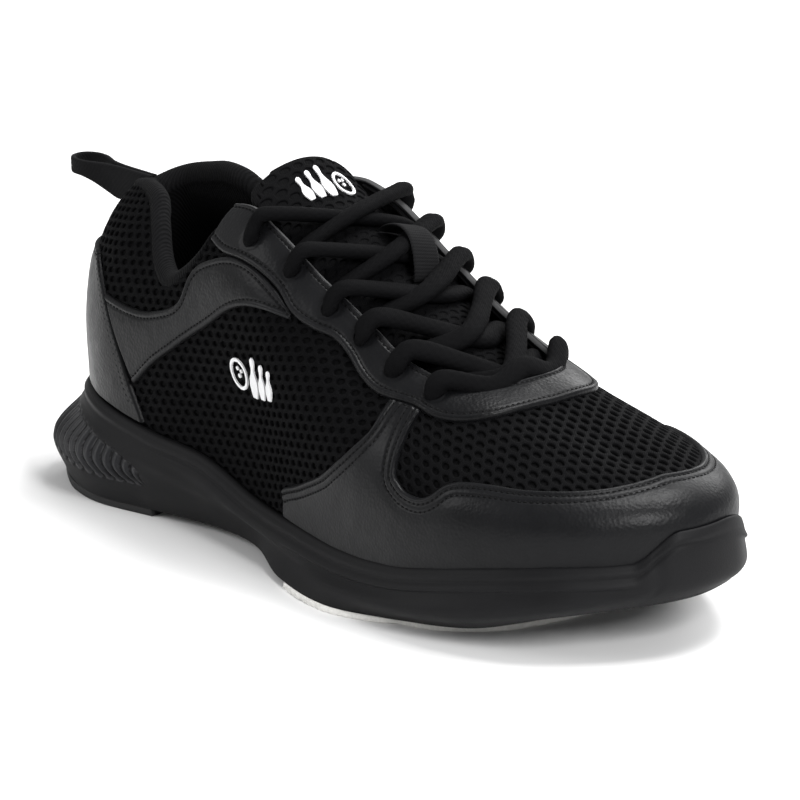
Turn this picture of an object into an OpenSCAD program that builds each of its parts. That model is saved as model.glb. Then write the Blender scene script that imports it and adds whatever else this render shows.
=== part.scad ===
// Bowling shoe, right foot: athletic pattern with a padded collar, a lace-up throat,
// a rubber heel pad and a microfibre slide sole. +X heel to toe, +Y towards the medial side, Z up.
// The upper is one parametric surface: k runs round the feather line (0 heel, 6 lateral
// waist, 12 toe tip, 18 medial waist) and v runs from the feather line (0) to the ridge (1).

/* [Last] */
// Length of the sole unit, heel to toe
sole_length = 294; // [286:1:302]
// Width of the sole across the ball
ball_width = 104; // [100:1:108]

/* [Upper] */
// Thickness of the air-mesh layer
mesh_thickness = 1.3; // [1:0.1:1.4]
// Thickness of the leather overlays
overlay_thickness = 1.2; // [0.8:0.1:1.5]
// Diameter of the punched lace holes
eyelet_diameter = 5; // [4:0.5:6]
// Thickness of the textile lining
lining_thickness = 1; // [0.8:0.1:1.2]

/* [Tongue] */
// Padded thickness of the tongue at its middle
tongue_thickness = 7; // [5:0.5:8]

/* [Lace] */
// Width of the oval lace
lace_width = 5.6; // [4.5:0.1:6]
// Thickness of the oval lace
lace_height = 2.7; // [2.2:0.1:2.8]

/* [Bottom] */
// Thickness of the rubber heel pad
heel_pad_thickness = 2.85; // [2.4:0.05:2.9]
// Thickness of the microfibre slide sole
slide_thickness = 1.7; // [1.2:0.1:1.7]
// Thickness of the removable sockliner
sockliner_thickness = 4; // [3:0.5:5]
// Width of the webbing pull tab, top to bottom
tab_height = 10; // [8:0.5:11]

/* [Hidden] */
fx = sole_length / 294;
fy = ball_width / 104;
ox = 139.92;
oy = -0.6;
// ribs round the feather line: position, height, then the ridge they climb to
FX = [10,15,37,65,95,122,150,180,208,236,260,278,288,283,265,241,212,182,152,122,94,65,37,15];
FY = [0,-18,-31,-34,-34,-36,-41,-46,-48,-45,-35.5,-18,5,26,40,46.5,46.5,43,37,32,31.5,33,31,19];
ZF = [37,36,34.5,31,28.5,21.5,19.5,19,21.5,27,31,32,32.5,32.5,31,27.5,22.5,20,20,22.5,28,31,34.5,36];
RX = [58,58,60,72,96,123,151,181,208,233,250,260,264,260,250,233,208,181,151,123,96,72,60,58];
RY = [0,0,0,0,0,0,1,1,2,2,3,3,3,3,2,2,2,1,1,0,0,0,0,0];
NN = [2.45,2.45,2.4,2.4,3,3.8,3,2.6,2.4,2.4,2.4,2.5,2.6,2.6,2.5,2.4,2.4,2.6,3,3.8,3,2.4,2.4,2.45];
BU = [1.8,1.8,2.2,3,4.5,5,4,3,3,3,3,3,2.8,2.8,3,3.5,3,3,4,5,4.5,3,2.2,1.8];
RIDX = [50,60,75,98,124,151,181,208,233,250,264,290];
RIDZ = [116,117,119,125,122,106,88,76,67,61,56,50];
// sole wall: how far the middle and the bottom edge stand out from the feather line
DM = [12,15,12,7,3,1,5,8.5,8,7,6,4.5,1.5,0.5,3,7,8,8,6,3,3,6,10,13];
ZM = [18,18,17,15,14,11,9,8,9,12,17,21,24,23,18,12,9,8,9,12,14,15,16,17];
DB = [6,8,7,1.5,-2.5,0,8,9.5,-1,-4,-4,-3,-3,-3,-1,-1,1,6,8,0,-2.5,1.5,5,6];
ZB = [3,3,3,3,3,3.6,2.2,2,2,5,11,14,16,17,14,6,2,2,2.2,3.6,3,3,3,3];
// top edge of the collar, and of the layers that stop under the eyestay
CK = [0,1,1.6,2.2,2.65,3,3.3,3.6,3.9,4.1,4.3,4.5,4.65,4.8,5.2,5.5,5.8,6.12,6.4,6.6,6.9,7.15,7.4,7.65,7.9,8.1,8.4];
CV = [0.6,0.65,0.69,0.66,0.55,0.43,0.365,0.375,0.43,0.52,0.56,0.55,0.5,0.47,0.46,0.485,0.48,0.52,0.56,0.565,0.545,0.545,0.57,0.6,0.61,0.63,0.68];
CM = [0.6,0.69,0.72,0.71,0.62,0.5,0.43,0.41,0.445,0.52,0.56,0.55,0.5,0.47,0.46,0.485,0.48,0.52,0.56,0.565,0.545,0.545,0.57,0.6,0.61,0.63,0.68];
// eyestay: outer edge then inner (throat) edge
EO = [[4.12,0.475],[4.5,0.425],[4.98,0.425],[5.5,0.46],[5.8,0.455],[6.12,0.495],[6.38,0.535],[6.62,0.54],[6.9,0.52],[7.15,0.52],
  [7.4,0.545],[7.65,0.575],[7.9,0.583],[8.1,0.602],[8.33,0.65],[8.56,0.75],[8.7,0.875],[8.78,1]];
EI = [[4.28,0.64],[4.7,0.66],[5.05,0.64],[5.55,0.655],[5.95,0.67],[6.2,0.685],[6.5,0.7],[6.75,0.71],[7,0.71],[7.25,0.715],
  [7.5,0.73],[7.7,0.745],[7.88,0.765],[8.02,0.79],[8.12,0.83],[8.2,0.89],[8.24,0.95],[8.25,1]];
EYE = [[7.8,0.675],[7.2,0.63],[6.65,0.63],[6.18,0.6],[5.58,0.575],[4.93,0.535]];
EYM = [[7.72,0.66],[7.17,0.65],[6.6,0.625],[6.15,0.62],[5.62,0.585],[5.08,0.54]];
// tongue centre line and half width
TT = [0,1,2,3,4,5,6,7,8,9,10,11,12];
TX = [222,212,200,186,172,160,150,140,131,124,117,110,107];
TZ = [64,69.5,75.5,82,89.5,97,103,107.5,111,115,120,125.5,128];
TW = [20,21,23,25,27,28,28,27.5,26,22.5,20,18.3,11.5];

function sst(a, b, t) = let (x = max(0, min(1, (t - a) / (b - a)))) x * x * (3 - 2 * x);
function crp(T, k) = let (q = k - 24 * floor(k / 24), i = floor(q), f = q - i,
  a = T[(i + 23) % 24], b = T[i % 24], c = T[(i + 1) % 24], d = T[(i + 2) % 24])
  b + 0.5 * f * (c - a + f * (2 * a - 5 * b + 4 * c - d + f * (3 * (b - c) + d - a)));
function tab(X, Y, x) = let (n = len(X), q = max(X[0], min(X[n - 1], x)),
  i = min(n - 2, max(0, len([for (a = X) if (a <= q) 1]) - 1)), h = X[i + 1] - X[i], t = (q - X[i]) / h,
  m0 = i == 0 ? (Y[1] - Y[0]) / h : (Y[i + 1] - Y[i - 1]) / (X[i + 1] - X[i - 1]),
  m1 = i == n - 2 ? (Y[i + 1] - Y[i]) / h : (Y[i + 2] - Y[i]) / (X[i + 2] - X[i]))
  (2 * t * t * t - 3 * t * t + 1) * Y[i] + (t * t * t - 2 * t * t + t) * h * m0
  + (3 * t * t - 2 * t * t * t) * Y[i + 1] + (t * t * t - t * t) * h * m1;
function lin(T, q) = let (n = len(T), i = min(n - 2, floor(q)), f = q - i) T[i] * (1 - f) + T[i + 1] * f;
function put(p) = [p.x * fx - ox, p.y * fy - oy, p.z];

// the surface of the upper, its normal and a point at an offset from it
function foot(k) = [crp(FX, k), crp(FY, k)];
function out2(k) = let (d = foot(k + 0.02) - foot(k - 0.02)) [d.y, -d.x] / norm(d);
function up(k, v) = let (n = crp(NN, k), C = pow(max(0, cos(90 * v)), 2 / n), S = pow(max(0, sin(90 * v)), 2 / n),
  b = crp(BU, k) * sin(180 * min(1, 1.6 * v)), f = foot(k), o = out2(k), rx = crp(RX, k), ry = crp(RY, k),
  z0 = crp(ZF, k), rz = tab(RIDX, RIDZ, rx))
  [rx + (f.x - rx) * C + o.x * b, ry + (f.y - ry) * C + o.y * b, z0 + (rz - z0) * S];
function srf(k, v) = v <= 1 ? up(k, v) : up(24 - k, 2 - v);
function nrm(k, v) = let (e = 0.015, a = srf(k + e, v) - srf(k - e, v),
  b = srf(k, min(2, v + e)) - srf(k, max(0, v - e)), c = cross(a, b)) norm(c) > 0.001 ? c / norm(c) : [0.35, 0, 0.94];
function pt(k, v, d) = put(srf(k, v) + nrm(k, v) * d);
function cv(k) = tab(CK, k < 0 ? CM : CV, abs(k));
// depth of the lining: shallow in the forefoot and low down, deep behind the collar padding
function lo(k, v) = 2.9 + 3.6 * sst(0.12, 0.32, v) * (1 - sst(3.4, 4.1, abs(k)));

// sole wall, w from the lip (0) to the bottom edge (1)
function bump(k) = let (q = k - 24 * floor(k / 24)) sst(11.15, 11.75, q) * (1 - sst(12.5, 13.5, q));
function wall(k, w) = let (b = bump(k), zf = crp(ZF, k), W = [0, 0.25, 0.6, 1],
  d = tab(W, [2.6 + 2.2 * b, 5.2 + 0.6 * b, crp(DM, k), crp(DB, k)], w),
  z = tab(W, [zf - 1 + 9.3 * b, zf - 7 + 8 * b, crp(ZM, k), crp(ZB, k)], w), f = foot(k), o = out2(k))
  [f.x + o.x * d, f.y + o.y * d, z];
function ring(k, d, z) = let (f = foot(k), o = out2(k)) [f.x + o.x * d, f.y + o.y * d, z];
function edge(k, d) = let (f = foot(k), o = out2(k), q = crp(DB, k) + d) [f.x + o.x * q, f.y + o.y * q];

// a closed solid between two grids of points; fold joins the last column to itself at the toe
module shell(A, B, fold = false) {
  c = len(A) - 1;
  r = len(A[0]) - 1;
  n = (c + 1) * (r + 1);
  function id(s, i, j) = s * n + i * (r + 1) + (fold && i == c && j > r / 2 ? r - j : j);
  polyhedron(points = [for (G = [A, B]) for (C = G) for (p = C) p], faces = concat(
    [for (i = [0 : c - 1]) for (j = [0 : r - 1]) each [
      [id(0, i, j), id(0, i, j + 1), id(0, i + 1, j + 1)], [id(0, i, j), id(0, i + 1, j + 1), id(0, i + 1, j)],
      [id(1, i, j), id(1, i + 1, j + 1), id(1, i, j + 1)], [id(1, i, j), id(1, i + 1, j), id(1, i + 1, j + 1)]]],
    [for (i = [0 : c - 1]) each [
      [id(0, i, 0), id(0, i + 1, 0), id(1, i + 1, 0)], [id(0, i, 0), id(1, i + 1, 0), id(1, i, 0)],
      [id(0, i, r), id(1, i + 1, r), id(0, i + 1, r)], [id(0, i, r), id(1, i, r), id(1, i + 1, r)]]],
    [for (j = [0 : r - 1]) each [
      [id(0, 0, j), id(1, 0, j + 1), id(0, 0, j + 1)], [id(0, 0, j), id(1, 0, j), id(1, 0, j + 1)]]],
    fold ? [] : [for (j = [0 : r - 1]) each [
      [id(0, c, j), id(0, c, j + 1), id(1, c, j + 1)], [id(0, c, j), id(1, c, j + 1), id(1, c, j)]]]));
}

// a patch of the upper: q(u, w) gives [k, v], a and b the outer and inner offsets
module patch(q, a, b, nu, nw) shell(
  [for (i = [0 : nu]) [for (j = [0 : nw]) let (s = q(i / nu, j / nw)) pt(s.x, s.y, a(s.x, s.y))]],
  [for (i = [0 : nu]) [for (j = [0 : nw]) let (s = q(i / nu, j / nw)) pt(s.x, s.y, b(s.x, s.y))]]);

// the forefoot cap from column k0 to the toe tip
module cap(k0, a, b, v0, nk, nv) shell(
  [for (i = [0 : nk]) [for (j = [0 : nv]) let (k = k0 + (12 - k0) * i / nk, v = v0 + (2 - 2 * v0) * j / nv) pt(k, v, a)]],
  [for (i = [0 : nk]) [for (j = [0 : nv]) let (k = k0 + (12 - k0) * i / nk, v = v0 + (2 - 2 * v0) * j / nv) pt(k, v, b)]], true);

// a flat-lying plate between two heights, wide as the ring at inset d, from rib k0 to rib k1
module plate(d, za, zb, k0, k1, nk) shell(
  [for (i = [0 : nk]) let (k = k0 + (k1 - k0) * i / nk) [for (s = [k, 24 - k]) let (p = ring(s, d, 0)) put([p.x, p.y, crp(ZF, s) + zb])]],
  [for (i = [0 : nk]) let (k = k0 + (k1 - k0) * i / nk) [for (s = [k, 24 - k]) let (p = ring(s, d, 0)) put([p.x, p.y, crp(ZF, s) + za])]]);

module midsole() color([0.09, 0.09, 0.1]) {
  nk = 96;
  R = concat(
    [[for (i = [0 : nk - 1]) let (k = i * 24 / nk) ring(k, -5, crp(ZF, k) - 0.8)]],
    [[for (i = [0 : nk - 1]) let (k = i * 24 / nk, b = bump(k)) ring(k, 3.5 * b, crp(ZF, k) - 0.7)]],
    [[for (i = [0 : nk - 1]) let (k = i * 24 / nk, b = bump(k)) ring(k, 0.25 + 3.4 * b, crp(ZF, k) - 0.4 + 9.4 * b)]],
    [for (w = [0, 0.12, 0.25, 0.37, 0.5, 0.62, 0.75, 0.88, 1]) [for (i = [0 : nk - 1]) wall(i * 24 / nk, w)]],
    [[for (i = [0 : nk - 1]) let (k = i * 24 / nk, p = wall(k, 1), y0 = (p.y + wall(24 - k, 1).y) / 2, m = sst(66, 84, p.x) * (1 - sst(134, 149, p.x)))
      [p.x, y0 + (p.y - y0) * 0.72, p.z + 5 * m]]]);
  m = len(R);
  a = function (j, i) j * nk + (i + nk) % nk;
  polyhedron(points = [for (r = R) for (p = r) put(p)], faces = concat(
    [for (j = [0 : m - 2]) for (i = [0 : nk - 1]) each [[a(j, i), a(j, i + 1), a(j + 1, i + 1)], [a(j, i), a(j + 1, i + 1), a(j + 1, i)]]],
    [[a(0, 0), a(0, nk - 1), a(0, 1)], [a(0, nk / 2), a(0, nk / 2 - 1), a(0, nk / 2 + 1)]],
    [for (i = [1 : nk / 2 - 2]) each [[a(0, i), a(0, nk - i), a(0, nk - i - 1)], [a(0, i), a(0, nk - i - 1), a(0, i + 1)]]],
    [[a(m - 1, 0), a(m - 1, 1), a(m - 1, nk - 1)], [a(m - 1, nk / 2), a(m - 1, nk / 2 + 1), a(m - 1, nk / 2 - 1)]],
    [for (i = [1 : nk / 2 - 2]) each [[a(m - 1, i), a(m - 1, nk - i - 1), a(m - 1, nk - i)], [a(m - 1, i), a(m - 1, i + 1), a(m - 1, nk - i - 1)]]]));
}

module heel_pad() color([0.05, 0.05, 0.05]) linear_extrude(heel_pad_thickness)
  polygon([for (k = [-3 : 0.25 : 3]) let (p = put([edge(k, -0.8).x, edge(k, -0.8).y, 0])) [p.x, p.y]]);

module slide_sole() color([0.93, 0.93, 0.91]) linear_extrude(slide_thickness)
  polygon([for (q = concat([for (k = [6.1 : 0.2 : 7.7]) edge(k, -0.3)],
    [[214, -43.5], [226, -35], [234, -24.5], [238, -12], [240, 0], [239, 14], [233, 28], [222, 38], [210, 44.5]],
    [for (k = [16.3 : 0.2 : 17.9]) edge(k, -0.3)])) let (p = put([q.x, q.y, 0])) [p.x, p.y]]);

module shank() color([0.45, 0.42, 0.38]) shell(
  [for (k = [2.6 : 0.3 : 5.9]) [for (s = [-1, 0, 1]) let (a = ring(k, 0, crp(ZF, k)), b = ring(24 - k, 0, crp(ZF, 24 - k)), c = (a + b) / 2)
    put([c.x, c.y + 11 * s, c.z + (b.z - a.z) * s * 11 / (b.y - a.y) + 0.8])]],
  [for (k = [2.6 : 0.3 : 5.9]) [for (s = [-1, 0, 1]) let (a = ring(k, 0, crp(ZF, k)), b = ring(24 - k, 0, crp(ZF, 24 - k)), c = (a + b) / 2)
    put([c.x, c.y + 11 * s, c.z + (b.z - a.z) * s * 11 / (b.y - a.y) - 0.4])]]);

module bottom_filler() color([0.75, 0.73, 0.68]) plate(-9, -0.4, 0.8, 6.2, 11.3, 20);
module insole_board() color([0.85, 0.84, 0.8]) plate(-5.6, 1.2, 2.5, 0.25, 11.75, 46);
module sockliner() color([0.2, 0.2, 0.22]) plate(-9, 3, 3 + sockliner_thickness, 0.35, 11.4, 40);

module toe_puff() color([0.8, 0.78, 0.72]) cap(10.5, -1.6, -2.6, 0.02, 8, 16);
module heel_counter() color([0.8, 0.78, 0.72]) patch(function (u, w) [-3.2 + 6.4 * u, 0.01 + 0.3 * w],
  function (k, v) -1.6, function (k, v) -2.6, 24, 4);

module vamp_mesh() color([0.06, 0.06, 0.07]) cap(8.3, 0, -mesh_thickness, 0.004, 16, 18);
module quarter_mesh_lateral() color([0.06, 0.06, 0.07]) patch(function (u, w) [0.02 + 8.26 * u, 0.004 + (cv(0.02 + 8.26 * u) - 0.004) * w],
  function (k, v) 0, function (k, v) -mesh_thickness, 36, 6);
module quarter_mesh_medial() color([0.06, 0.06, 0.07]) patch(function (u, w) [-8.28 + 8.26 * u, 0.004 + (cv(-8.28 + 8.26 * u) - 0.004) * w],
  function (k, v) 0, function (k, v) -mesh_thickness, 36, 6);

// toe guard: a band round the toe with a strap up each side to the eyestay
GK = [5.75,6.1,6.4,6.65,6.85,7.03,7.18,7.3,7.36,7.4,7.5,7.65,7.78,7.83,7.9,8,8.15,8.35,8.5,8.65,8.83,9.2,9.65,10.15,10.6,11,11.4,11.8,12];
GV = [0.02,0.05,0.09,0.135,0.19,0.25,0.31,0.37,0.43,0.525,0.53,0.548,0.555,0.45,0.32,0.285,0.265,0.265,0.295,0.36,0.4,0.435,0.46,0.505,0.56,0.62,0.7,0.76,0.77];
module toe_guard() color([0.12, 0.12, 0.13]) {
  K = concat(GK, [for (i = [len(GK) - 2 : -1 : 0]) 24 - GK[i]]);
  V = concat(GV, [for (i = [len(GV) - 2 : -1 : 0]) GV[i]]);
  shell([for (i = [0 : len(K) - 1]) [for (w = [0, 0.1, 0.28, 0.46, 0.64, 0.82, 1]) pt(K[i], 0.006 + (V[i] - 0.006) * w, 0.3 + overlay_thickness)]],
    [for (i = [0 : len(K) - 1]) [for (w = [0, 0.1, 0.28, 0.46, 0.64, 0.82, 1]) pt(K[i], 0.006 + (V[i] - 0.006) * w, 0.3)]]);
}

// eyestay columns: s from the lateral top (0) past the throat bottom (17) to the medial top (34)
function stay(s, w) = let (m = s > 17, q = m ? 34 - s : s, a = lin(EO, q), b = lin(EI, q), p = a + (b - a) * w) m ? [p.x, 2 - p.y] : p;
function ey(n, m) = m > 0 ? [24 - EYM[n].x, EYM[n].y] : EYE[n];
module holes(K) for (n = K) for (m = [0, 1]) {
  e = ey(n, m);
  d = nrm(e.x, e.y);
  translate(pt(e.x, e.y, -3)) rotate([0, acos(d.z), atan2(d.y, d.x)]) cylinder(d = eyelet_diameter, h = 7, $fn = 24);
}
module eyestay() color([0.12, 0.12, 0.13]) difference() {
  shell([for (i = [0 : 34]) [for (w = [0, 0.3, 0.65, 1]) let (s = stay(i, w)) pt(s.x, s.y, 0.3 + overlay_thickness)]],
    [for (i = [0 : 34]) [for (w = [0, 0.3, 0.65, 1]) let (s = stay(i, w)) pt(s.x, s.y, 0.3)]]);
  holes([0 : 5]);
}
module backer(m) difference() {
  shell([for (i = [0 : 12]) [for (w = [0.42, 0.7, 0.97]) let (s = stay(m > 0 ? 33 - i : 1 + i, w), j = m > 0 ? 33 - i : 1 + i, q = stay(j, w)) pt(q.x, q.y, m > 0 ? -mesh_thickness : 0)]],
    [for (i = [0 : 12]) [for (w = [0.42, 0.7, 0.97]) let (j = m > 0 ? 33 - i : 1 + i, q = stay(j, w)) pt(q.x, q.y, m > 0 ? 0 : -mesh_thickness)]]);
  holes([0 : 5]);
}
module eyelet_backer_lateral() color([0.3, 0.3, 0.32]) backer(-1);
module eyelet_backer_medial() color([0.3, 0.3, 0.32]) backer(1);

// side panel: lower edge then upper edge, from the heel overlay to its tip under the eyestay
SL = [[2.8,0.08],[3.2,0.14],[3.6,0.172],[4,0.198],[4.5,0.235],[5.1,0.31],[5.4,0.41]];
SU = [[2.13,0.27],[2.7,0.27],[3.2,0.275],[3.65,0.29],[3.9,0.38],[4.45,0.405],[5.42,0.435]];
module side_panel(m) patch(function (u, w) let (a = lin(SL, u * 6), b = lin(SU, u * 6), p = a + (b - a) * (m > 0 ? 1 - w : w)) [m > 0 ? -p.x : p.x, p.y],
  function (k, v) 0.3 + overlay_thickness, function (k, v) 0.3, 18, 5);
module side_panel_lateral() color([0.12, 0.12, 0.13]) side_panel(-1);
module side_panel_medial() color([0.12, 0.12, 0.13]) side_panel(1);

HV = [0, 0.065, 0.14, 0.26, 0.34, 0.4];
HK = [2.9, 2.7, 2.52, 2.14, 1.74, 1.2];
module heel_overlay() color([0.12, 0.12, 0.13]) patch(function (u, w) [(2 * u - 1) * tab(HV, HK, 0.37 * w), 0.006 + 0.36 * w],
  function (k, v) 0.3 + overlay_thickness, function (k, v) 0.3, 26, 6);

module collar_foam() color([0.9, 0.85, 0.6]) patch(function (u, w) let (k = -3.9 + 7.8 * u, t = cv(k)) [k, min(0.27, t - 0.1) + (t - 0.02 - min(0.27, t - 0.1)) * w],
  function (k, v) -1.6 - 1.3 * (1 - sst(0.33, 0.42, v)) * (1 - sst(3.1, 3.4, abs(k))), function (k, v) min(-2.2, 0.3 - lo(k, v)) - 0.9 * (1 - sst(0.33, 0.42, v)) * (1 - sst(3.1, 3.4, abs(k))) * 0, 44, 5);
module collar_lining() color([0.1, 0.1, 0.11]) patch(function (u, w) let (k = -8.28 + 16.56 * u) [k, 0.004 + (cv(k) - 0.004) * w],
  function (k, v) -lo(k, v), function (k, v) -lo(k, v) - lining_thickness, 66, 7);
module vamp_lining() color([0.1, 0.1, 0.11]) cap(8.3, -2.9, -2.9 - lining_thickness, 0.004, 14, 16);

// tongue surface: t along (0 throat bottom, 12 top), s across (-1 lateral, 1 medial)
function tg(t, s) = let (y = tab(TT, TW, t) * s) [tab(TT, TX, t), y + 0.3, tab(TT, TZ, t) - y * y / 64];
function tp(t, s, d) = let (e = 0.05, a = tg(t, s + e) - tg(t, s - e), b = tg(min(12, t + e), s) - tg(max(0, t - e), s), c = cross(a, b)) put(tg(t, s) + d * c / norm(c));
module tongue_layer(t0, t1, w, a, b, nt, ns) shell(
  [for (i = [0 : nt]) [for (j = [0 : ns]) let (t = t0 + (t1 - t0) * i / nt, s = 2 * j / ns - 1) tp(t, s * w, b(s))]],
  [for (i = [0 : nt]) [for (j = [0 : ns]) let (t = t0 + (t1 - t0) * i / nt, s = 2 * j / ns - 1) tp(t, s * w, a(s))]]);
function pad(s) = sqrt(max(0, 1 - 0.8 * s * s));
module tongue_mesh() color([0.06, 0.06, 0.07]) tongue_layer(0, 9.2, 1, function (s) 0, function (s) -0.8, 18, 8);
module tongue_foam() color([0.9, 0.85, 0.6]) tongue_layer(0.1, 9.2, 0.94, function (s) -1, function (s) -1.2 - (tongue_thickness - 2.4) * pad(s), 16, 8);
module tongue_lining() color([0.1, 0.1, 0.11]) tongue_layer(0, 9.2, 0.97, function (s) -1.45 - (tongue_thickness - 2.4) * pad(s), function (s) -2.25 - (tongue_thickness - 2.4) * pad(s), 16, 8);
module tongue_top() color([0.06, 0.06, 0.07]) tongue_layer(9.5, 12, 1, function (s) 0, function (s) -1.6 - (tongue_thickness - 1.6) * pad(s), 7, 8);
module tongue_badge() color([0.85, 0.85, 0.85]) tongue_layer(9.9, 11.2, 0.55, function (s) 0.7, function (s) 0.2, 4, 6);
module lace_keeper() color([0.1, 0.1, 0.11]) tongue_layer(5, 6.1, 0.5, function (s) 4.9 - 4 * pow(abs(s), 4), function (s) 4.1 - 4 * pow(abs(s), 4), 2, 12);

// lace: Catmull-Rom path through the holes
function hole(n, m, d) = let (e = ey(n, m)) pt(e.x, e.y, d);
function near(n, m, dv, d, dk = 0) = let (e = ey(n, m)) pt(e.x - m * dk, e.y + dv, d);
// one strand: under side m at row n, over the tongue, on top of the other side at row n + 1 and into its hole
function strand(n, m) = let (h = m < 0 ? 5.4 : 2.2) [hole(n, m, -3.1), near(n, m, 0.09, -3.4, -0.1), tp(0.55 + 1.45 * n + (n > 3 ? 0.5 * (n - 3) : 0) + 0.75, m * 0.1, h),
  near(n + 1, -m, 0.14, 3.4, 0.1), near(n + 1, -m, 0.06, 4.2), hole(n + 1, -m, 2.4), hole(n + 1, -m, -0.5)];
function tail(m) = [for (p = [[119, 25, 98], [122, 25.5, 86], [134, 24.5, 74], [150, 22.5, 65], [166, 21, 60]]) put([p.x, m * p.y + (m > 0 ? 1.5 : 0), p.z])];
function side(m) = concat([hole(0, m, 2.4), hole(0, m, -0.5)], strand(0, m), strand(1, -m), strand(2, m), strand(3, -m), strand(4, m), tail(-m));
function flip(L) = [for (i = [len(L) - 1 : -1 : 0]) L[i]];
LP = concat(flip(side(-1)), [near(0, -1, 0.08, 4.2), tp(1.05, 0, 3.6), near(0, 1, 0.08, 4.2)], side(1));
function cr(a, b, c, d, t) = b + 0.5 * t * (c - a + t * (2 * a - 5 * b + 4 * c - d + t * (3 * (b - c) + d - a)));
LC = [for (i = [1 : len(LP) - 3]) for (t = [0, 1 / 3, 2 / 3]) cr(LP[i - 1], LP[i], LP[i + 1], LP[i + 2], t)];
module sweep(P, w, h, n) {
  m = len(P);
  T = [for (i = [0 : m - 1]) let (d = P[min(m - 1, i + 1)] - P[max(0, i - 1)]) d / norm(d)];
  // flat side faces the foot: the width stays square to the direction away from the middle of the instep
  c = put([160, 1, 60]);
  U = [for (i = [0 : m - 1]) let (r = P[i] - c, q = cross(T[i], r / norm(r) + [0, 0, 0.6])) q / norm(q)];
  polyhedron(points = [for (i = [0 : m - 1]) let (v = cross(T[i], U[i])) for (a = [0 : n - 1]) P[i] + U[i] * cos(a * 360 / n) * w / 2 + v * sin(a * 360 / n) * h / 2],
    faces = concat([for (i = [0 : m - 2]) for (a = [0 : n - 1]) let (b = (a + 1) % n) each [[i * n + a, (i + 1) * n + b, i * n + b], [i * n + a, (i + 1) * n + a, (i + 1) * n + b]]],
      [for (a = [1 : n - 2]) [0, a, a + 1]], [for (a = [1 : n - 2]) [(m - 1) * n, (m - 1) * n + a + 1, (m - 1) * n + a]]));
}
module lace() color([0.05, 0.05, 0.06]) sweep(LC, lace_width, lace_height, 8);
module aglets() color([0.5, 0.5, 0.5]) for (m = [-1, 1]) {
  T = tail(m);
  d = T[4] - T[3];
  translate(T[4] + d * 0.0 + d / norm(d) * 1.2) rotate([0, acos(d.z / norm(d)), atan2(d.y, d.x)]) cylinder(d = 3.4, h = 16, $fn = 24);
}

// pull tab: an upright webbing band folded into a loop, its two ends meeting at the heel
PX = [17, 12, 8, 4, 0, -4, -8, -11, -12.8, -13.3];
PY = [1, 1.1, 1.3, 2, 3.2, 4.2, 4.3, 3.3, 1.7, 0];
function loop(i) = i < 10 ? [PX[i], -PY[i]] : [PX[18 - i], PY[18 - i]];
function band(i, z, h) = let (a = loop(max(0, i - 1)), b = loop(min(18, i + 1)), d = (b - a) / norm(b - a), p = loop(i) + [-d.y, d.x] * h)
  put([p.x + 0.85 * (z - 96) * sst(2, 17, p.x), p.y, z]);
module pull_tab() color([0.08, 0.08, 0.09]) shell(
  [for (i = [0 : 18]) [for (z = [96 + tab_height : -tab_height / 4 : 96]) band(i, z, 0.75)]],
  [for (i = [0 : 18]) [for (z = [96 + tab_height : -tab_height / 4 : 96]) band(i, z, -0.75)]]);
module tab_anchor() color([0.08, 0.08, 0.09]) patch(function (u, w) [-0.5 + u, 0.41 + 0.12 * w], function (k, v) 1.4, function (k, v) 0.3, 6, 4);

midsole();
heel_pad();
slide_sole();
shank();
bottom_filler();
insole_board();
sockliner();
toe_puff();
heel_counter();
vamp_mesh();
quarter_mesh_lateral();
quarter_mesh_medial();
toe_guard();
eyestay();
eyelet_backer_lateral();
eyelet_backer_medial();
side_panel_lateral();
side_panel_medial();
heel_overlay();
collar_foam();
collar_lining();
vamp_lining();
tongue_mesh();
tongue_foam();
tongue_lining();
tongue_top();
tongue_badge();
lace_keeper();
lace();
aglets();
pull_tab();
tab_anchor();
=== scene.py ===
import bpy, math
import numpy as np
from mathutils import Vector, Matrix


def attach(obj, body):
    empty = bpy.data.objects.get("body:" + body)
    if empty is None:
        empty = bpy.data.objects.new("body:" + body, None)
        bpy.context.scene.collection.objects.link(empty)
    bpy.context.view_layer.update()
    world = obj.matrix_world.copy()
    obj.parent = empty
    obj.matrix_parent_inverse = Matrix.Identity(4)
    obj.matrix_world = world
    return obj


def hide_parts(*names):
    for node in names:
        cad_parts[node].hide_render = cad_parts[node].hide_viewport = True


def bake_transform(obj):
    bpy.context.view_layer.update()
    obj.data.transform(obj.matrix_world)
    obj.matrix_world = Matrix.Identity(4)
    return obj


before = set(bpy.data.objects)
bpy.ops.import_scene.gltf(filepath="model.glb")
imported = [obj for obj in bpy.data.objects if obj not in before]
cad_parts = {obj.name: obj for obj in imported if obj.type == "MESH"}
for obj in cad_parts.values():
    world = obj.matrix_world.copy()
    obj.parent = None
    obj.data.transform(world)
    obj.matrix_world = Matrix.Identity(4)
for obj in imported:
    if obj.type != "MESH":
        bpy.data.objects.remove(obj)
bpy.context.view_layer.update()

A = np.array

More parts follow.
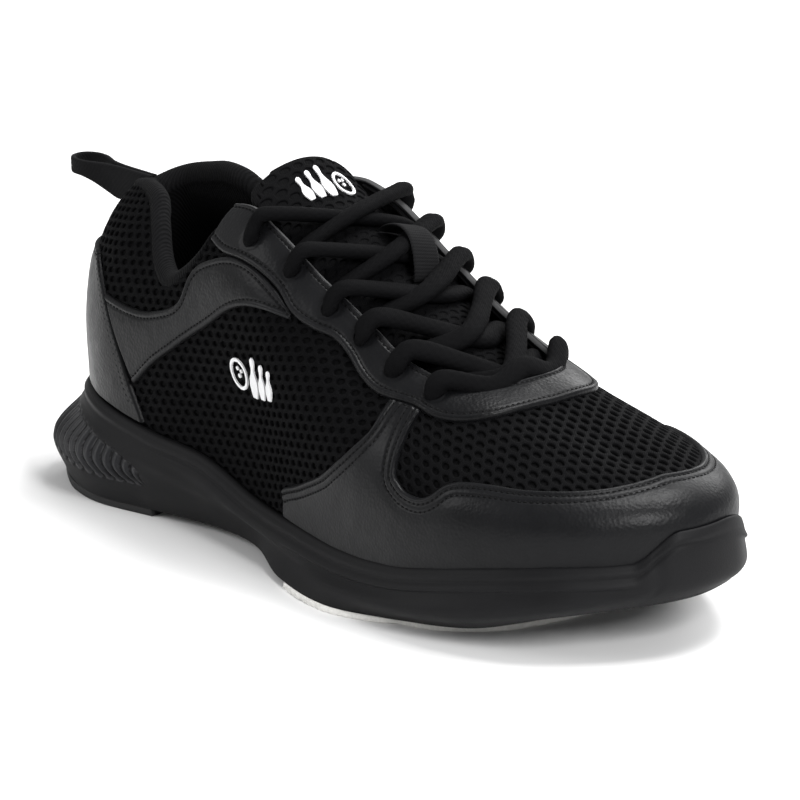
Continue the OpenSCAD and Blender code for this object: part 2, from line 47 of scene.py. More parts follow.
# ---------------------------------------------------------------- the shoe's own surface (mm, as in part.scad)
OX, OY = 139.92, -0.6
FX = [10,15,37,65,95,122,150,180,208,236,260,278,288,283,265,241,212,182,152,122,94,65,37,15]
FY = [0,-18,-31,-34,-34,-36,-41,-46,-48,-45,-35.5,-18,5,26,40,46.5,46.5,43,37,32,31.5,33,31,19]
ZF = [37,36,34.5,31,28.5,21.5,19.5,19,21.5,27,31,32,32.5,32.5,31,27.5,22.5,20,20,22.5,28,31,34.5,36]
RX = [58,58,60,72,96,123,151,181,208,233,250,260,264,260,250,233,208,181,151,123,96,72,60,58]
RY = [0,0,0,0,0,0,1,1,2,2,3,3,3,3,2,2,2,1,1,0,0,0,0,0]
NN = [2.45,2.45,2.4,2.4,3,3.8,3,2.6,2.4,2.4,2.4,2.5,2.6,2.6,2.5,2.4,2.4,2.6,3,3.8,3,2.4,2.4,2.45]
BU = [1.8,1.8,2.2,3,4.5,5,4,3,3,3,3,3,2.8,2.8,3,3.5,3,3,4,5,4.5,3,2.2,1.8]
RIDX = [50,60,75,98,124,151,181,208,233,250,264,290]
RIDZ = [116,117,119,125,122,106,88,76,67,61,56,50]
DM = [12.5,15,12.5,7,3,1,5,8.5,8,7,6,5.2,5.5,6,5.5,7,8,8,6,3,3,6,10,13]
ZM = [18,18,17,15,14,11,9,8,9,12,17,21,24,23,18,12,9,8,9,12,14,15,16,17]
DB = [10.6,11.8,8.2,1.5,-2.5,0,8,9.5,-1,-4,-4,-2,1.5,2.5,1,-1,1,6,8,0,-2.5,1.5,5.8,9.5]
ZB = [8,6.8,3.2,3,3,3.6,2.2,2,2,5,11.5,15.5,18.5,19.5,15.5,6.5,2,2,2.2,3.6,3,3,3.2,6.2]
CK = [0,1,1.6,2.2,2.65,3,3.3,3.6,3.9,4.1,4.3,4.5,4.65,4.8,5.2,5.5,5.8,6.12,6.4,6.6,6.9,7.15,7.4,7.65,7.9,8.1,8.4]
CV = [0.6,0.65,0.69,0.66,0.55,0.43,0.365,0.375,0.43,0.52,0.56,0.55,0.5,0.47,0.46,0.485,0.48,0.52,0.56,0.565,0.545,0.545,0.57,0.6,0.61,0.63,0.68]
CM = [0.6,0.69,0.735,0.775,0.72,0.56,0.45,0.42,0.445,0.52,0.56,0.55,0.5,0.47,0.46,0.485,0.48,0.52,0.56,0.565,0.545,0.545,0.57,0.6,0.61,0.63,0.68]
EO = A([[4.12,0.475],[4.5,0.435],[4.98,0.442],[5.5,0.472],[5.8,0.465],[6.12,0.495],[6.38,0.535],[6.62,0.54],[6.9,0.52],[7.15,0.52],
  [7.4,0.545],[7.65,0.575],[7.9,0.583],[8.1,0.602],[8.33,0.65],[8.56,0.75],[8.7,0.875],[8.78,1]])
EI = A([[4.28,0.64],[4.7,0.66],[5.05,0.64],[5.55,0.655],[5.95,0.67],[6.2,0.685],[6.5,0.7],[6.75,0.71],[7,0.71],[7.25,0.715],
  [7.5,0.73],[7.7,0.745],[7.88,0.765],[8.02,0.79],[8.12,0.83],[8.2,0.89],[8.24,0.95],[8.25,1]])
EYE = [[7.8,0.675],[7.2,0.63],[6.65,0.63],[6.18,0.6],[5.58,0.575],[4.93,0.535]]
EYM = [[7.72,0.66],[7.17,0.65],[6.6,0.625],[6.15,0.62],[5.62,0.585],[5.08,0.54]]
TT = list(range(13))
TX = [222,212,200,186,172,160,150,140,131,124,117,110,107]
TZ = [64,69.5,75.5,82,89.5,97,103,107.5,111,115,120,125.5,128]
TW = [20,21,23,25,27,28,28,27.5,26,22.5,20,18.3,11.5]
GK = [5.75,6.1,6.4,6.65,6.85,7.03,7.18,7.3,7.36,7.4,7.5,7.65,7.76,7.83,7.9,8,8.15,8.35,8.5,8.65,8.83,9.2,9.65,10.15,10.6,11,11.4,11.8,12]
GV = [0.02,0.05,0.09,0.135,0.19,0.25,0.31,0.37,0.43,0.585,0.60,0.62,0.62,0.46,0.32,0.285,0.265,0.265,0.295,0.36,0.4,0.435,0.46,0.505,0.56,0.62,0.7,0.76,0.77]
SL = A([[2.8,0.08],[3.2,0.14],[3.6,0.172],[4,0.198],[4.5,0.235],[5.1,0.31],[5.8,0.44]])
SU = A([[2.13,0.27],[2.7,0.27],[3.2,0.275],[3.65,0.29],[3.9,0.38],[4.45,0.42],[5.8,0.48]])
HV = [0, 0.065, 0.14, 0.26, 0.34, 0.4]
HK = [2.9, 2.7, 2.52, 2.14, 1.74, 1.2]


def sst(a, b, t):
    x = np.clip((np.asarray(t, float) - a) / (b - a), 0, 1)
    return x * x * (3 - 2 * x)


def crp(T, k):
    T = A(T, float); k = np.asarray(k, float) % 24
    i = np.floor(k).astype(int); f = k - i
    a, b, c, d = T[(i - 1) % 24], T[i % 24], T[(i + 1) % 24], T[(i + 2) % 24]
    return b + 0.5 * f * (c - a + f * (2 * a - 5 * b + 4 * c - d + f * (3 * (b - c) + d - a)))


def tab(X, Y, x):
    X, Y = A(X, float), A(Y, float)
    x = np.clip(np.asarray(x, float), X[0], X[-1])
    i = np.clip(np.searchsorted(X, x, side="right") - 1, 0, len(X) - 2)
    m = np.zeros(len(X))
    m[1:-1] = (Y[2:] - Y[:-2]) / (X[2:] - X[:-2])
    m[0] = (Y[1] - Y[0]) / (X[1] - X[0]); m[-1] = (Y[-1] - Y[-2]) / (X[-1] - X[-2])
    h = X[i + 1] - X[i]; t = (x - X[i]) / h
    return ((2*t**3 - 3*t**2 + 1) * Y[i] + (t**3 - 2*t**2 + t) * h * m[i]
            + (3*t**2 - 2*t**3) * Y[i + 1] + (t**3 - t**2) * h * m[i + 1])


def crl(T, q):
    """smooth line through the rows of T at fractional index q"""
    T = A(T, float); n = len(T)
    q = np.clip(np.asarray(q, float), 0, n - 1); i = np.minimum(n - 2, np.floor(q).astype(int)); f = (q - i)[..., None]
    a, b, c, d = T[np.maximum(0, i - 1)], T[i], T[i + 1], T[np.minimum(n - 1, i + 2)]
    return b + 0.5 * f * (c - a + f * (2 * a - 5 * b + 4 * c - d + f * (3 * (b - c) + d - a)))


def foot(k): return np.stack([crp(FX, k), crp(FY, k)], -1)


def out2(k):
    d = foot(np.asarray(k) + 0.02) - foot(np.asarray(k) - 0.02)
    o = np.stack([d[..., 1], -d[..., 0]], -1)
    return o / np.linalg.norm(o, axis=-1, keepdims=True)


def up(k, v):
    k, v = np.broadcast_arrays(np.asarray(k, float), np.asarray(v, float))
    n = crp(NN, k)
    C = np.power(np.maximum(0, np.cos(v * np.pi / 2)), 2 / n); S = np.power(np.maximum(0, np.sin(v * np.pi / 2)), 2 / n)
    b = crp(BU, k) * np.sin(np.pi * np.minimum(1, 1.6 * v)); f = foot(k); o = out2(k); rx = crp(RX, k); ry = crp(RY, k)
    z0 = crp(ZF, k); rz = tab(RIDX, RIDZ, rx)
    return np.stack([rx + (f[..., 0] - rx) * C + o[..., 0] * b, ry + (f[..., 1] - ry) * C + o[..., 1] * b, z0 + (rz - z0) * S], -1)


def srf(k, v):
    k, v = np.broadcast_arrays(np.asarray(k, float), np.asarray(v, float))
    m = v > 1
    return up(np.where(m, 24 - k, k), np.where(m, 2 - v, v))


def nrm(k, v):
    e = 0.015
    a = srf(k + e, v) - srf(k - e, v)
    b = srf(k, np.minimum(2, v + e)) - srf(k, np.maximum(0, v - e))
    c = np.cross(a, b); L = np.linalg.norm(c, axis=-1, keepdims=True)
    return np.where(L > 0.001, c / np.maximum(L, 1e-9), A([0.35, 0, 0.94]))


def pt(k, v, d):
    k, v = np.broadcast_arrays(np.asarray(k, float), np.asarray(v, float))
    return srf(k, v) + nrm(k, v) * np.asarray(d, float)[..., None]


def cv(k):
    k = np.asarray(k, float)
    return np.where(k < 0, tab(CK, CM, np.abs(k)), tab(CK, CV, np.abs(k)))


def lo(k, v): return 2.9 + 3.6 * sst(0.12, 0.32, v) * (1 - sst(3.4, 4.1, np.abs(k)))


def M(P):
    """millimetres of the design to metres of the frame"""
    P = np.asarray(P, float)
    return (P - A([OX, OY, 0])) / 1000


def tg(t, s):
    t, s = np.broadcast_arrays(np.asarray(t, float), np.asarray(s, float))
    # the free top spreads a little over the outer side
    g = sst(9.3, 10.6, t) * (1 - 0.5 * sst(11.2, 12, t)) * np.clip(-s, 0, 1)
    y = tab(TT, TW, t) * s * (1 + 0.32 * g)
    return np.stack([tab(TT, TX, t), y + 0.3, tab(TT, TZ, t) - y * y / 64 * (1 - 0.5 * g)], -1)


def tn(t, s):
    e = 0.05
    c = np.cross(tg(t, s + e) - tg(t, s - e), tg(np.minimum(12, t + e), s) - tg(np.maximum(0, t - e), s))
    return c / np.linalg.norm(c, axis=-1, keepdims=True)


def tp(t, s, d):
    return tg(t, s) + tn(t, s) * np.asarray(d, float)[..., None]


# ---------------------------------------------------------------- mesh helpers
def raw(name, verts, faces, mats, body=None, smooth=True, mi=None):
    me = bpy.data.meshes.new(name)
    verts = np.asarray(verts, np.float32); n = len(verts)
    me.vertices.add(n); me.vertices.foreach_set("co", verts.ravel())
    if isinstance(faces, np.ndarray):
        lens = np.full(len(faces), faces.shape[1]); flat = faces.ravel()
    else:
        lens = A([len(f) for f in faces]); flat = np.concatenate([np.asarray(f) for f in faces]) if faces else A([], int)
    me.loops.add(len(flat)); me.loops.foreach_set("vertex_index", flat.astype(np.int32))
    me.polygons.add(len(lens))
    me.polygons.foreach_set("loop_start", np.concatenate([[0], np.cumsum(lens)[:-1]]).astype(np.int32))
    me.polygons.foreach_set("loop_total", lens.astype(np.int32))
    if mi is not None:
        me.polygons.foreach_set("material_index", np.asarray(mi, np.int32))
    me.update(calc_edges=True); me.validate()
    me.polygons.foreach_set("use_smooth", np.full(len(me.polygons), smooth))
    for m in (mats if isinstance(mats, (list, tuple)) else [mats]):
        me.materials.append(m)
    ob = bpy.data.objects.new(name, me)
    bpy.context.scene.collection.objects.link(ob)
    if body:
        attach(ob, body)
    return ob


def quads(nu, nv, cu=False, cvv=False, flip=False, off=0):
    """index quads of an nu x nv point grid; cu and cvv close it in u and v"""
    i = np.arange(nu if cu else nu - 1); j = np.arange(nv if cvv else nv - 1)
    I, J = np.meshgrid(i, j, indexing="ij")
    I2, J2 = (I + 1) % nu, (J + 1) % nv
    q = np.stack([I * nv + J, I2 * nv + J, I2 * nv + J2, I * nv + J2], -1).reshape(-1, 4)
    return (q[:, ::-1] if flip else q) + off


def fan(ring, flip=False):
    r = list(ring)
    return [r[::-1] if flip else r]


def closed_tube(name, G, mats, body, cap=True, flip=False):
    """G[i, j]: rings i, closed round j; capped at both ends by a centre vertex"""
    nu, nv = G.shape[:2]
    V = G.reshape(-1, 3); F = [quads(nu, nv, cvv=True, flip=flip)]
    if cap:
        c0, c1 = len(V), len(V) + 1
        V = np.concatenate([V, [G[0].mean(0), G[-1].mean(0)]])
        j = np.arange(nv); j2 = (j + 1) % nv
        a = np.stack([np.full(nv, c0), j, j2, j2], -1)[:, :3]; b = np.stack([np.full(nv, c1), (nu - 1) * nv + j2, (nu - 1) * nv + j], -1)
        tri = np.concatenate([a, b]) if not flip else np.concatenate([a, b])[:, ::-1]
        fs = [list(x) for x in F[0]] + [list(x) for x in tri]
    else:
        fs = F[0]
    ob = raw(name, M(V), fs, mats, body)
    return ob


def join(name, parts, mats, body=None):
    """parts: list of (verts mm, faces array or list, material index)"""
    V, F, MI, o = [], [], [], 0
    for v, f, m in parts:
        v = np.asarray(v, float).reshape(-1, 3)
        for g in ([f] if isinstance(f, np.ndarray) else [f]):
            F += [list(A(x) + o) for x in g]
        MI += [m] * len(f); V.append(v); o += len(v)
    ob = raw(name, M(np.concatenate(V)), F, mats, body, mi=MI)
    return ob


def arclen(P):
    d = np.linalg.norm(np.diff(P, axis=0), axis=-1)
    return np.concatenate([[0], np.cumsum(d)])


def resample(P, step, closed=False):
    P = np.asarray(P, float); s = arclen(P); n = max(2, int(round(s[-1] / step)) + 1)
    t = np.linspace(0, s[-1], n)
    return np.stack([np.interp(t, s, P[:, c]) for c in range(P.shape[1])], -1)


rng = np.random.default_rng(7)


def noise3(P, scale, seed=0, octaves=2):
    """cheap smooth pseudo-noise from sums of sines, about -1..1"""
    r = np.random.default_rng(seed); out = np.zeros(P.shape[:-1]); a = 1.0; tot = 0
    for o in range(octaves):
        for _ in range(5):
            w = r.normal(size=3); w = w / np.linalg.norm(w) * (2 * np.pi / scale) * r.uniform(0.7, 1.4)
            out += a * np.sin(P @ w + r.uniform(0, 6.28))
        tot += a * 2.2; a *= 0.5; scale *= 0.5
    return out / tot


# ---------------------------------------------------------------- materials
def nodes_of(name):
    m = bpy.data.materials.new(name); m.use_nodes = True
    nt = m.node_tree; b = nt.nodes["Principled BSDF"]
    tc = nt.nodes.new("ShaderNodeTexCoord")
    return m, nt, b, tc.outputs["Object"]


def N(nt, kind, **kw):
    n = nt.nodes.new(kind)
    for k, v in kw.items():
        if k.startswith("_"):
            n.inputs[k[1:].replace("_", " ")].default_value = v
        else:
            setattr(n, k, v)
    return n


def ramp(nt, src, stops):
    r = nt.nodes.new("ShaderNodeValToRGB"); e = r.color_ramp.elements
    e[0].position, e[0].color = stops[0][0], (*stops[0][1], 1) if len(stops[0][1]) == 3 else stops[0][1]
    e[1].position, e[1].color = stops[-1][0], (*stops[-1][1], 1)
    for p, c in stops[1:-1]:
        x = e.new(p); x.color = (*c, 1)
    nt.links.new(src, r.inputs[0]); return r.outputs[0]


def mth(nt, op, a, b=None):
    n = nt.nodes.new("ShaderNodeMath"); n.operation = op
    for i, x in enumerate([a, b]):
        if x is None: continue
        if isinstance(x, (int, float)): n.inputs[i].default_value = x
        else: nt.links.new(x, n.inputs[i])
    return n.outputs[0]


def bump(nt, b, h, dist, strength=1.0):
    n = nt.nodes.new("ShaderNodeBump"); n.inputs["Distance"].default_value = dist; n.inputs["Strength"].default_value = strength
    nt.links.new(h, n.inputs["Height"]); nt.links.new(n.outputs[0], b.inputs["Normal"])


def g3(x): return (x, x, x) if isinstance(x, (int, float)) else x


def leather(name, c=(0.0042, 0.0043, 0.0049), rough=0.38, grain=1.0, hi=1.6):
    m, nt, b, co = nodes_of(name)
    v = N(nt, "ShaderNodeTexVoronoi", feature="SMOOTH_F1", _Scale=900 / grain); nt.links.new(co, v.inputs["Vector"])
    v.inputs["Smoothness"].default_value = 0.35
    n1 = N(nt, "ShaderNodeTexNoise", _Scale=260 / grain, _Detail=4.0, _Roughness=0.6); nt.links.new(co, n1.inputs["Vector"])
    n2 = N(nt, "ShaderNodeTexNoise", _Scale=34.0, _Detail=3.0); nt.links.new(co, n2.inputs["Vector"])
    h = mth(nt, "ADD", mth(nt, "MULTIPLY", v.outputs["Distance"], 0.75), mth(nt, "MULTIPLY", n1.outputs["Fac"], 0.42))
    bump(nt, b, h, 0.00020, 0.5)
    col = ramp(nt, n2.outputs["Fac"], [(0.3, tuple(x * 0.85 for x in c)), (0.72, tuple(x * hi * 0.8 for x in c))])
    nt.links.new(col, b.inputs["Base Color"])
    nt.links.new(ramp(nt, mth(nt, "ADD", mth(nt, "MULTIPLY", n1.outputs["Fac"], 0.5), mth(nt, "MULTIPLY", n2.outputs["Fac"], 0.5)),
                      [(0.35, g3(rough - 0.05)), (0.68, g3(rough + 0.09))]), b.inputs["Roughness"])
    b.inputs["Specular IOR Level"].default_value = 0.13
    b.inputs["Sheen Weight"].default_value = 0.01; b.inputs["Sheen Roughness"].default_value = 0.45
    return m


def cloth(name, c, c2=None, rough=0.85, kind="knit", scale=1.0, sheen=0.25, bumpd=0.00018, spec=0.1):
    """kind: knit (fine yarn), rib (fine ribs), pile (short fuzz), twill (diagonal)"""
    m, nt, b, co = nodes_of(name)
    c2 = c2 or tuple(min(1, x * 1.9) for x in c)
    n1 = N(nt, "ShaderNodeTexNoise", _Scale=700 * scale, _Detail=3.0, _Roughness=0.65); nt.links.new(co, n1.inputs["Vector"])
    w = N(nt, "ShaderNodeTexWave", wave_type="BANDS", bands_direction={"rib": "X", "twill": "DIAGONAL", "knit": "DIAGONAL", "pile": "X"}[kind], _Scale={"rib": 330, "twill": 420, "knit": 500, "pile": 200}[kind] * scale, _Distortion=1.2 if kind != "pile" else 6.0, _Detail=1.0)
    w.inputs["Detail Scale"].default_value = 1.5
    nt.links.new(co, w.inputs["Vector"])
    n3 = N(nt, "ShaderNodeTexNoise", _Scale=60.0, _Detail=2.0); nt.links.new(co, n3.inputs["Vector"])
    a = {"rib": 0.75, "twill": 0.5, "knit": 0.4, "pile": 0.15}[kind]
    h = mth(nt, "ADD", mth(nt, "MULTIPLY", w.outputs["Fac"], a), mth(nt, "MULTIPLY", n1.outputs["Fac"], 1 - a))
    bump(nt, b, h, bumpd, 0.8)
    f = mth(nt, "ADD", mth(nt, "MULTIPLY", h, 0.7), mth(nt, "MULTIPLY", n3.outputs["Fac"], 0.3))
    nt.links.new(ramp(nt, f, [(0.25, c), (0.75, c2)]), b.inputs["Base Color"])
    nt.links.new(ramp(nt, n1.outputs["Fac"], [(0.3, g3(rough - 0.1)), (0.7, g3(min(1, rough + 0.08)))]), b.inputs["Roughness"])
    b.inputs["Sheen Weight"].default_value = sheen; b.inputs["Sheen Roughness"].default_value = 0.5
    b.inputs["Specular IOR Level"].default_value = spec
    return m


def moulded(name, c, rough=0.6, fine=1.0, spec=0.4, bumpd=0.00012):
    m, nt, b, co = nodes_of(name)
    n1 = N(nt, "ShaderNodeTexNoise", _Scale=1400 * fine, _Detail=2.0, _Roughness=0.7); nt.links.new(co, n1.inputs["Vector"])
    n2 = N(nt, "ShaderNodeTexNoise", _Scale=45.0, _Detail=4.0); nt.links.new(co, n2.inputs["Vector"])
    n3 = N(nt, "ShaderNodeTexVoronoi", _Scale=1900 * fine); nt.links.new(co, n3.inputs["Vector"])
    bump(nt, b, mth(nt, "ADD", n1.outputs["Fac"], mth(nt, "MULTIPLY", n3.outputs["Distance"], 0.4)), bumpd, 0.5)
    nt.links.new(ramp(nt, n2.outputs["Fac"], [(0.3, tuple(x * 0.9 for x in c)), (0.7, tuple(x * 1.22 for x in c))]), b.inputs["Base Color"])
    nt.links.new(ramp(nt, mth(nt, "ADD", mth(nt, "MULTIPLY", n2.outputs["Fac"], 0.7), mth(nt, "MULTIPLY", n1.outputs["Fac"], 0.3)),
                      [(0.3, g3(rough - 0.06)), (0.7, g3(rough + 0.08))]), b.inputs["Roughness"])
    b.inputs["Specular IOR Level"].default_value = spec
    return m


m_sole = moulded("eva_sole", (0.0070, 0.0070, 0.0076), 0.55, spec=0.11)
# the blades' material: the sole's EVA with a glossier finish, and a lighter base colour that is a painted highlight on
# the blade crests
m_flute_gloss_painted_highlight = moulded("eva_sole_blades_gloss_and_painted_highlight", (0.010, 0.0102, 0.0118), 0.40, spec=0.26)
m_rub = moulded("rubber_pad", (0.016, 0.016, 0.0165), 0.62, 0.8, spec=0.3)
m_slide = cloth("microfibre_slide", (0.70, 0.69, 0.66), (0.86, 0.85, 0.82), 0.95, "pile", 1.0, 0.3, 0.0004)
m_lea = leather("grained_leather")
m_lea_edge = leather("leather_raw_edge", (0.055, 0.055, 0.056), 0.7, 0.6, 1.5)
m_thr = cloth("black_thread", (0.0006, 0.0006, 0.0007), (0.0022, 0.0022, 0.0024), 0.6, "twill", 4.0, 0.0, 0.00005)
m_mesh = cloth("air_mesh_yarn", (0.0008, 0.0008, 0.0010), (0.0032, 0.0032, 0.0037), 0.80, "knit", 1.6, 0.004, 0.00016, 0.05)
m_back = cloth("air_mesh_ground", (0.0007, 0.0007, 0.0009), (0.0020, 0.0020, 0.0024), 0.95, "knit", 1.2, 0.01, 0.0002)
m_lin = cloth("ribbed_lining", (0.0020, 0.0020, 0.0023), (0.0045, 0.0045, 0.0050), 0.92, "rib", 1.0, 0.008, 0.0003)
m_lace = cloth("braided_lace", (0.0008, 0.0008, 0.0010), (0.0048, 0.0048, 0.0053), 0.85, "twill", 2.2, 0.0, 0.00012, 0.05)
m_web = cloth("grosgrain", (0.0018, 0.0018, 0.0021), (0.0075, 0.0075, 0.0082), 0.85, "knit", 2.0, 0.01, 0.00012)
m_foot = cloth("footbed_knit", (0.018, 0.018, 0.020), (0.05, 0.05, 0.052), 0.9, "knit", 0.9, 0.3, 0.0003)
m_white = cloth("white_print", (0.74, 0.74, 0.75), (0.86, 0.86, 0.87), 0.6, "knit", 2.0, 0.05, 0.00006)
m_foam = cloth("open_cell_foam", (0.55, 0.50, 0.34), (0.75, 0.70, 0.50), 0.95, "pile", 1.0, 0.1, 0.0004)
m_board = cloth("fibre_board", (0.55, 0.53, 0.48), (0.72, 0.70, 0.65), 0.9, "knit", 0.6, 0.05)
m_stiff = moulded("stiffener_sheet", (0.55, 0.53, 0.48), 0.6)
m_shank = moulded("shank_nylon", (0.22, 0.20, 0.17), 0.5)
m_agl = moulded("aglet_film", (0.012, 0.012, 0.013), 0.25, spec=0.6)

CADMAT = {"shank": m_shank, "bottom_filler": m_board, "insole_board": m_board, "toe_puff": m_stiff, "heel_counter": m_stiff,
          "eyelet_backer_lateral": m_back, "eyelet_backer_medial": m_back, "aglets": m_agl, "collar_foam": m_foam, "tongue_foam": m_foam}
for n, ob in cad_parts.items():
    mt = CADMAT.get(n)
    if mt:
        for s in ob.material_slots:
            s.material = mt
        if not ob.material_slots:
            ob.data.materials.append(mt)


# ---------------------------------------------------------------- sole unit
def toe_mask(k):
    q = np.asarray(k) % 24
    return sst(11.15, 11.75, q) * (1 - sst(12.4, 14.0, q))


def wall(k, w):
    b = toe_mask(k); zf = crp(ZF, k); W = A([0, 0.25, 0.6, 1.0])
    D = np.stack([2.6 + 2.2 * b, 5.2 + 0.6 * b, crp(DM, k), crp(DB, k)], -1)
    Z = np.stack([zf - 1 + 9.3 * b, zf - 7 + 8 * b, crp(ZM, k), crp(ZB, k)], -1)
    w = np.asarray(w, float)
    m = np.stack([(D[..., 1] - D[..., 0]) / .25, (D[..., 2] - D[..., 0]) / .6, (D[..., 3] - D[..., 1]) / .75, (D[..., 3] - D[..., 2]) / .4], -1)
    mz = np.stack([(Z[..., 1] - Z[..., 0]) / .25, (Z[..., 2] - Z[..., 0]) / .6, (Z[..., 3] - Z[..., 1]) / .75, (Z[..., 3] - Z[..., 2]) / .4], -1)
    i = np.clip(np.searchsorted(W, w, side="right") - 1, 0, 2)
    h = W[i + 1] - W[i]; t = (w - W[i]) / h

    def H(Y, S):
        y0, y1, s0, s1 = (np.take_along_axis(X, J[..., None], -1)[..., 0] for X, J in ((Y, i), (Y, i + 1), (S, i), (S, i + 1)))
        return (2*t**3 - 3*t**2 + 1) * y0 + (t**3 - 2*t**2 + t) * h * s0 + (3*t**2 - 2*t**3) * y1 + (t**3 - t**2) * h * s1
    k, i2 = np.broadcast_arrays(k, i)
    i = i2
    return H(D, m), H(Z, mz)


def ring3(k, d, z):
    f, o = foot(k), out2(k)
    return np.stack([f[..., 0] + o[..., 0] * d, f[..., 1] + o[..., 1] * d, z + 0 * d], -1)


def build_sole():
    nk = 1440
    kk = np.arange(nk) * 24 / nk
    q = np.where(kk > 12, 24 - kk, kk)          # both sides alike
    s = np.concatenate([[0], np.cumsum(np.linalg.norm(foot(np.roll(kk, -1)) - foot(kk), axis=-1))])[:-1]
    b = toe_mask(kk); zf = crp(ZF, kk)
    # bottom is flat under heel and ball; wall columns
    ws = np.concatenate([np.linspace(0, 0.3, 18)[:-1], np.linspace(0.3, 0.93, 54)[:-1], np.linspace(0.93, 1, 9)])
    K, W = np.meshgrid(kk, ws, indexing="ij")
    D, Z = wall(K, W)
    S = s[:, None] + 0 * W
    Q = q[:, None] + 0 * W
    # blades moulded into the heel: sharp ridges that lean backwards as they rise, inside a crescent
    side = np.where(K > 12, -1, 1)
    arc = np.where(K > 12, S - s[-1] - 2.0, S)     # signed distance from the heel's middle
    aa = np.abs(arc)
    top = np.interp(aa, [0, 12, 30, 46, 60, 72, 80], [30, 29.5, 28, 26, 23, 19, 15])
    bot = np.interp(aa, [0, 12, 30, 46, 60, 72, 80], [21, 18, 14, 12, 11.5, 12.5, 13])
    u = (Z - bot) / np.maximum(1e-3, top - bot)
    win = sst(-0.02, 0.12, u) * (1 - sst(0.9, 1.02, u)) * (1 - sst(70, 79, aa))
    lean = aa + (1 - np.clip(u, 0, 1)) * -7.5 + 3.2 * np.sin(np.pi * np.clip(u, 0, 1))
    ph = (lean / 4.6) % 1.0
    blade = np.where(ph < 0.72, ph / 0.72, (1 - ph) / 0.28)     # slow rise, sharp drop
    D = D - win * (0.25 + 1.45 * (1 - blade) ** 1.6)
    # crest mask: these faces get the lighter blade material, a painted highlight
    fl = win * blade
    # lip crease below the rounded rim, and the carved line along the forefoot
    ztop = (zf - 1 + 9.3 * b)[:, None]
    dz = ztop - Z
    lipm = 1 - 0.75 * (1 - sst(2.6, 3.6, Q)) * 1.0
    fm = 1 - 0.9 * sst(11.7, 12.5, K) * (1 - sst(15, 17, K))
    D = D + fm * (0.5 * np.exp(-((dz - 1.2) / 0.9) ** 2) - 0.55 * np.exp(-((dz - 3.0) / 0.55) ** 2) * lipm)
    g = sst(5.4, 6.6, Q) * (1 - sst(10.9, 11.4, Q))
    D = D - 0.9 * g * sst(5.4, 6.3, dz) + 0.25 * g * np.exp(-((dz - 5.0) / 0.8) ** 2)
    # toe bumper's outline
    tb = np.exp(-(((b[:, None] - 0.5)) / 0.22) ** 2) * (1 - sst(11, 14, dz)) * (1 - sst(11.5, 12.2, K))
    D = D - 0.6 * tb
    # long sweeping crease from the heel blades down to the arch
    cz = np.interp(Q, [2.0, 3.0, 4.0, 5.0], [26, 22.5, 17, 11])
    cm = sst(1.9, 2.6, Q) * (1 - sst(4.3, 5.2, Q))
    D = D + cm * 0.5 * np.exp(-((Z - cz) / 2.2) ** 2)
    D = D + 0.05 * noise3(np.stack([foot(K)[..., 0], foot(K)[..., 1], Z], -1), 24, 3)
    Wl = ring3(K, D, Z)
    # rim: from inside the lip over a small round to the wall
    rows = []
    for dd, zz in ((-5, zf - 0.8), (3.5 * b - 0.2, zf - 0.7), (0.15 + 3.4 * b, zf - 0.45 + 6 * b), (0.35 + 3.4 * b, zf + 0.1 + 9.3 * b), (0.9 + 3.0 * b, zf + 0.28 + 9.35 * b),
                   (1.6 + 2.6 * b, zf + 0.1 + 9.35 * b), (2.3 + 2.3 * b, zf - 0.35 + 9.3 * b)):
        rows.append(ring3(kk, dd + 0 * kk, zz + 0 * kk))
    body = [Wl[:, j] for j in range(Wl.shape[1])]
    last = Wl[:, -1]
    mir = Wl[(nk - np.arange(nk)) % nk, -1]
    y0 = (last[:, 1] + mir[:, 1]) / 2
    m = sst(66, 84, last[:, 0]) * (1 - sst(134, 149, last[:, 0]))
    tail = []
    for f in (0.985, 0.9, 0.8, 0.72, 0.45, 0.2, 0.0):
        r = last.copy(); r[:, 1] = y0 + (last[:, 1] - y0) * f
        a = min(1, (1 - f) / 0.28)
        r[:, 2] = last[:, 2] + 5 * m * a * a * (3 - 2 * a)
        tail.append(r)
    G = np.stack(rows + body + tail, 0)
    nr = len(G)
    V = G.reshape(-1, 3)
    F = quads(nr, nk, cvv=True, flip=True)
    # blade crests get a glossier finish and a lighter base colour: the gloss is real, the lighter colour is a painted
    # highlight against the darker grooves
    mi = np.zeros(len(F), int)
    crest_painted_highlight = np.zeros((nr, nk)); crest_painted_highlight[len(rows):len(rows) + Wl.shape[1]] = fl.T
    mi[(crest_painted_highlight[:-1] > 0.25).ravel()] = 1
    # close the inside of the rim
    c = len(V)
    inner = [kk_ for kk_ in range(nk)]
    V = np.concatenate([V, [[150, 0, 24.0]]])
    extra = [[c, i, (i + 1) % nk] for i in inner]
    ob = raw("sole_unit", M(V), [list(x) for x in F] + extra, [m_sole, m_flute_gloss_painted_highlight], "shoe", mi=list(mi) + [0] * nk)
    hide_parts("midsole")


build_sole()


def edge2(k, d):
    f, o = foot(k), out2(k); q = crp(DB, k) + d
    return np.stack([f[..., 0] + o[..., 0] * q, f[..., 1] + o[..., 1] * q], -1)


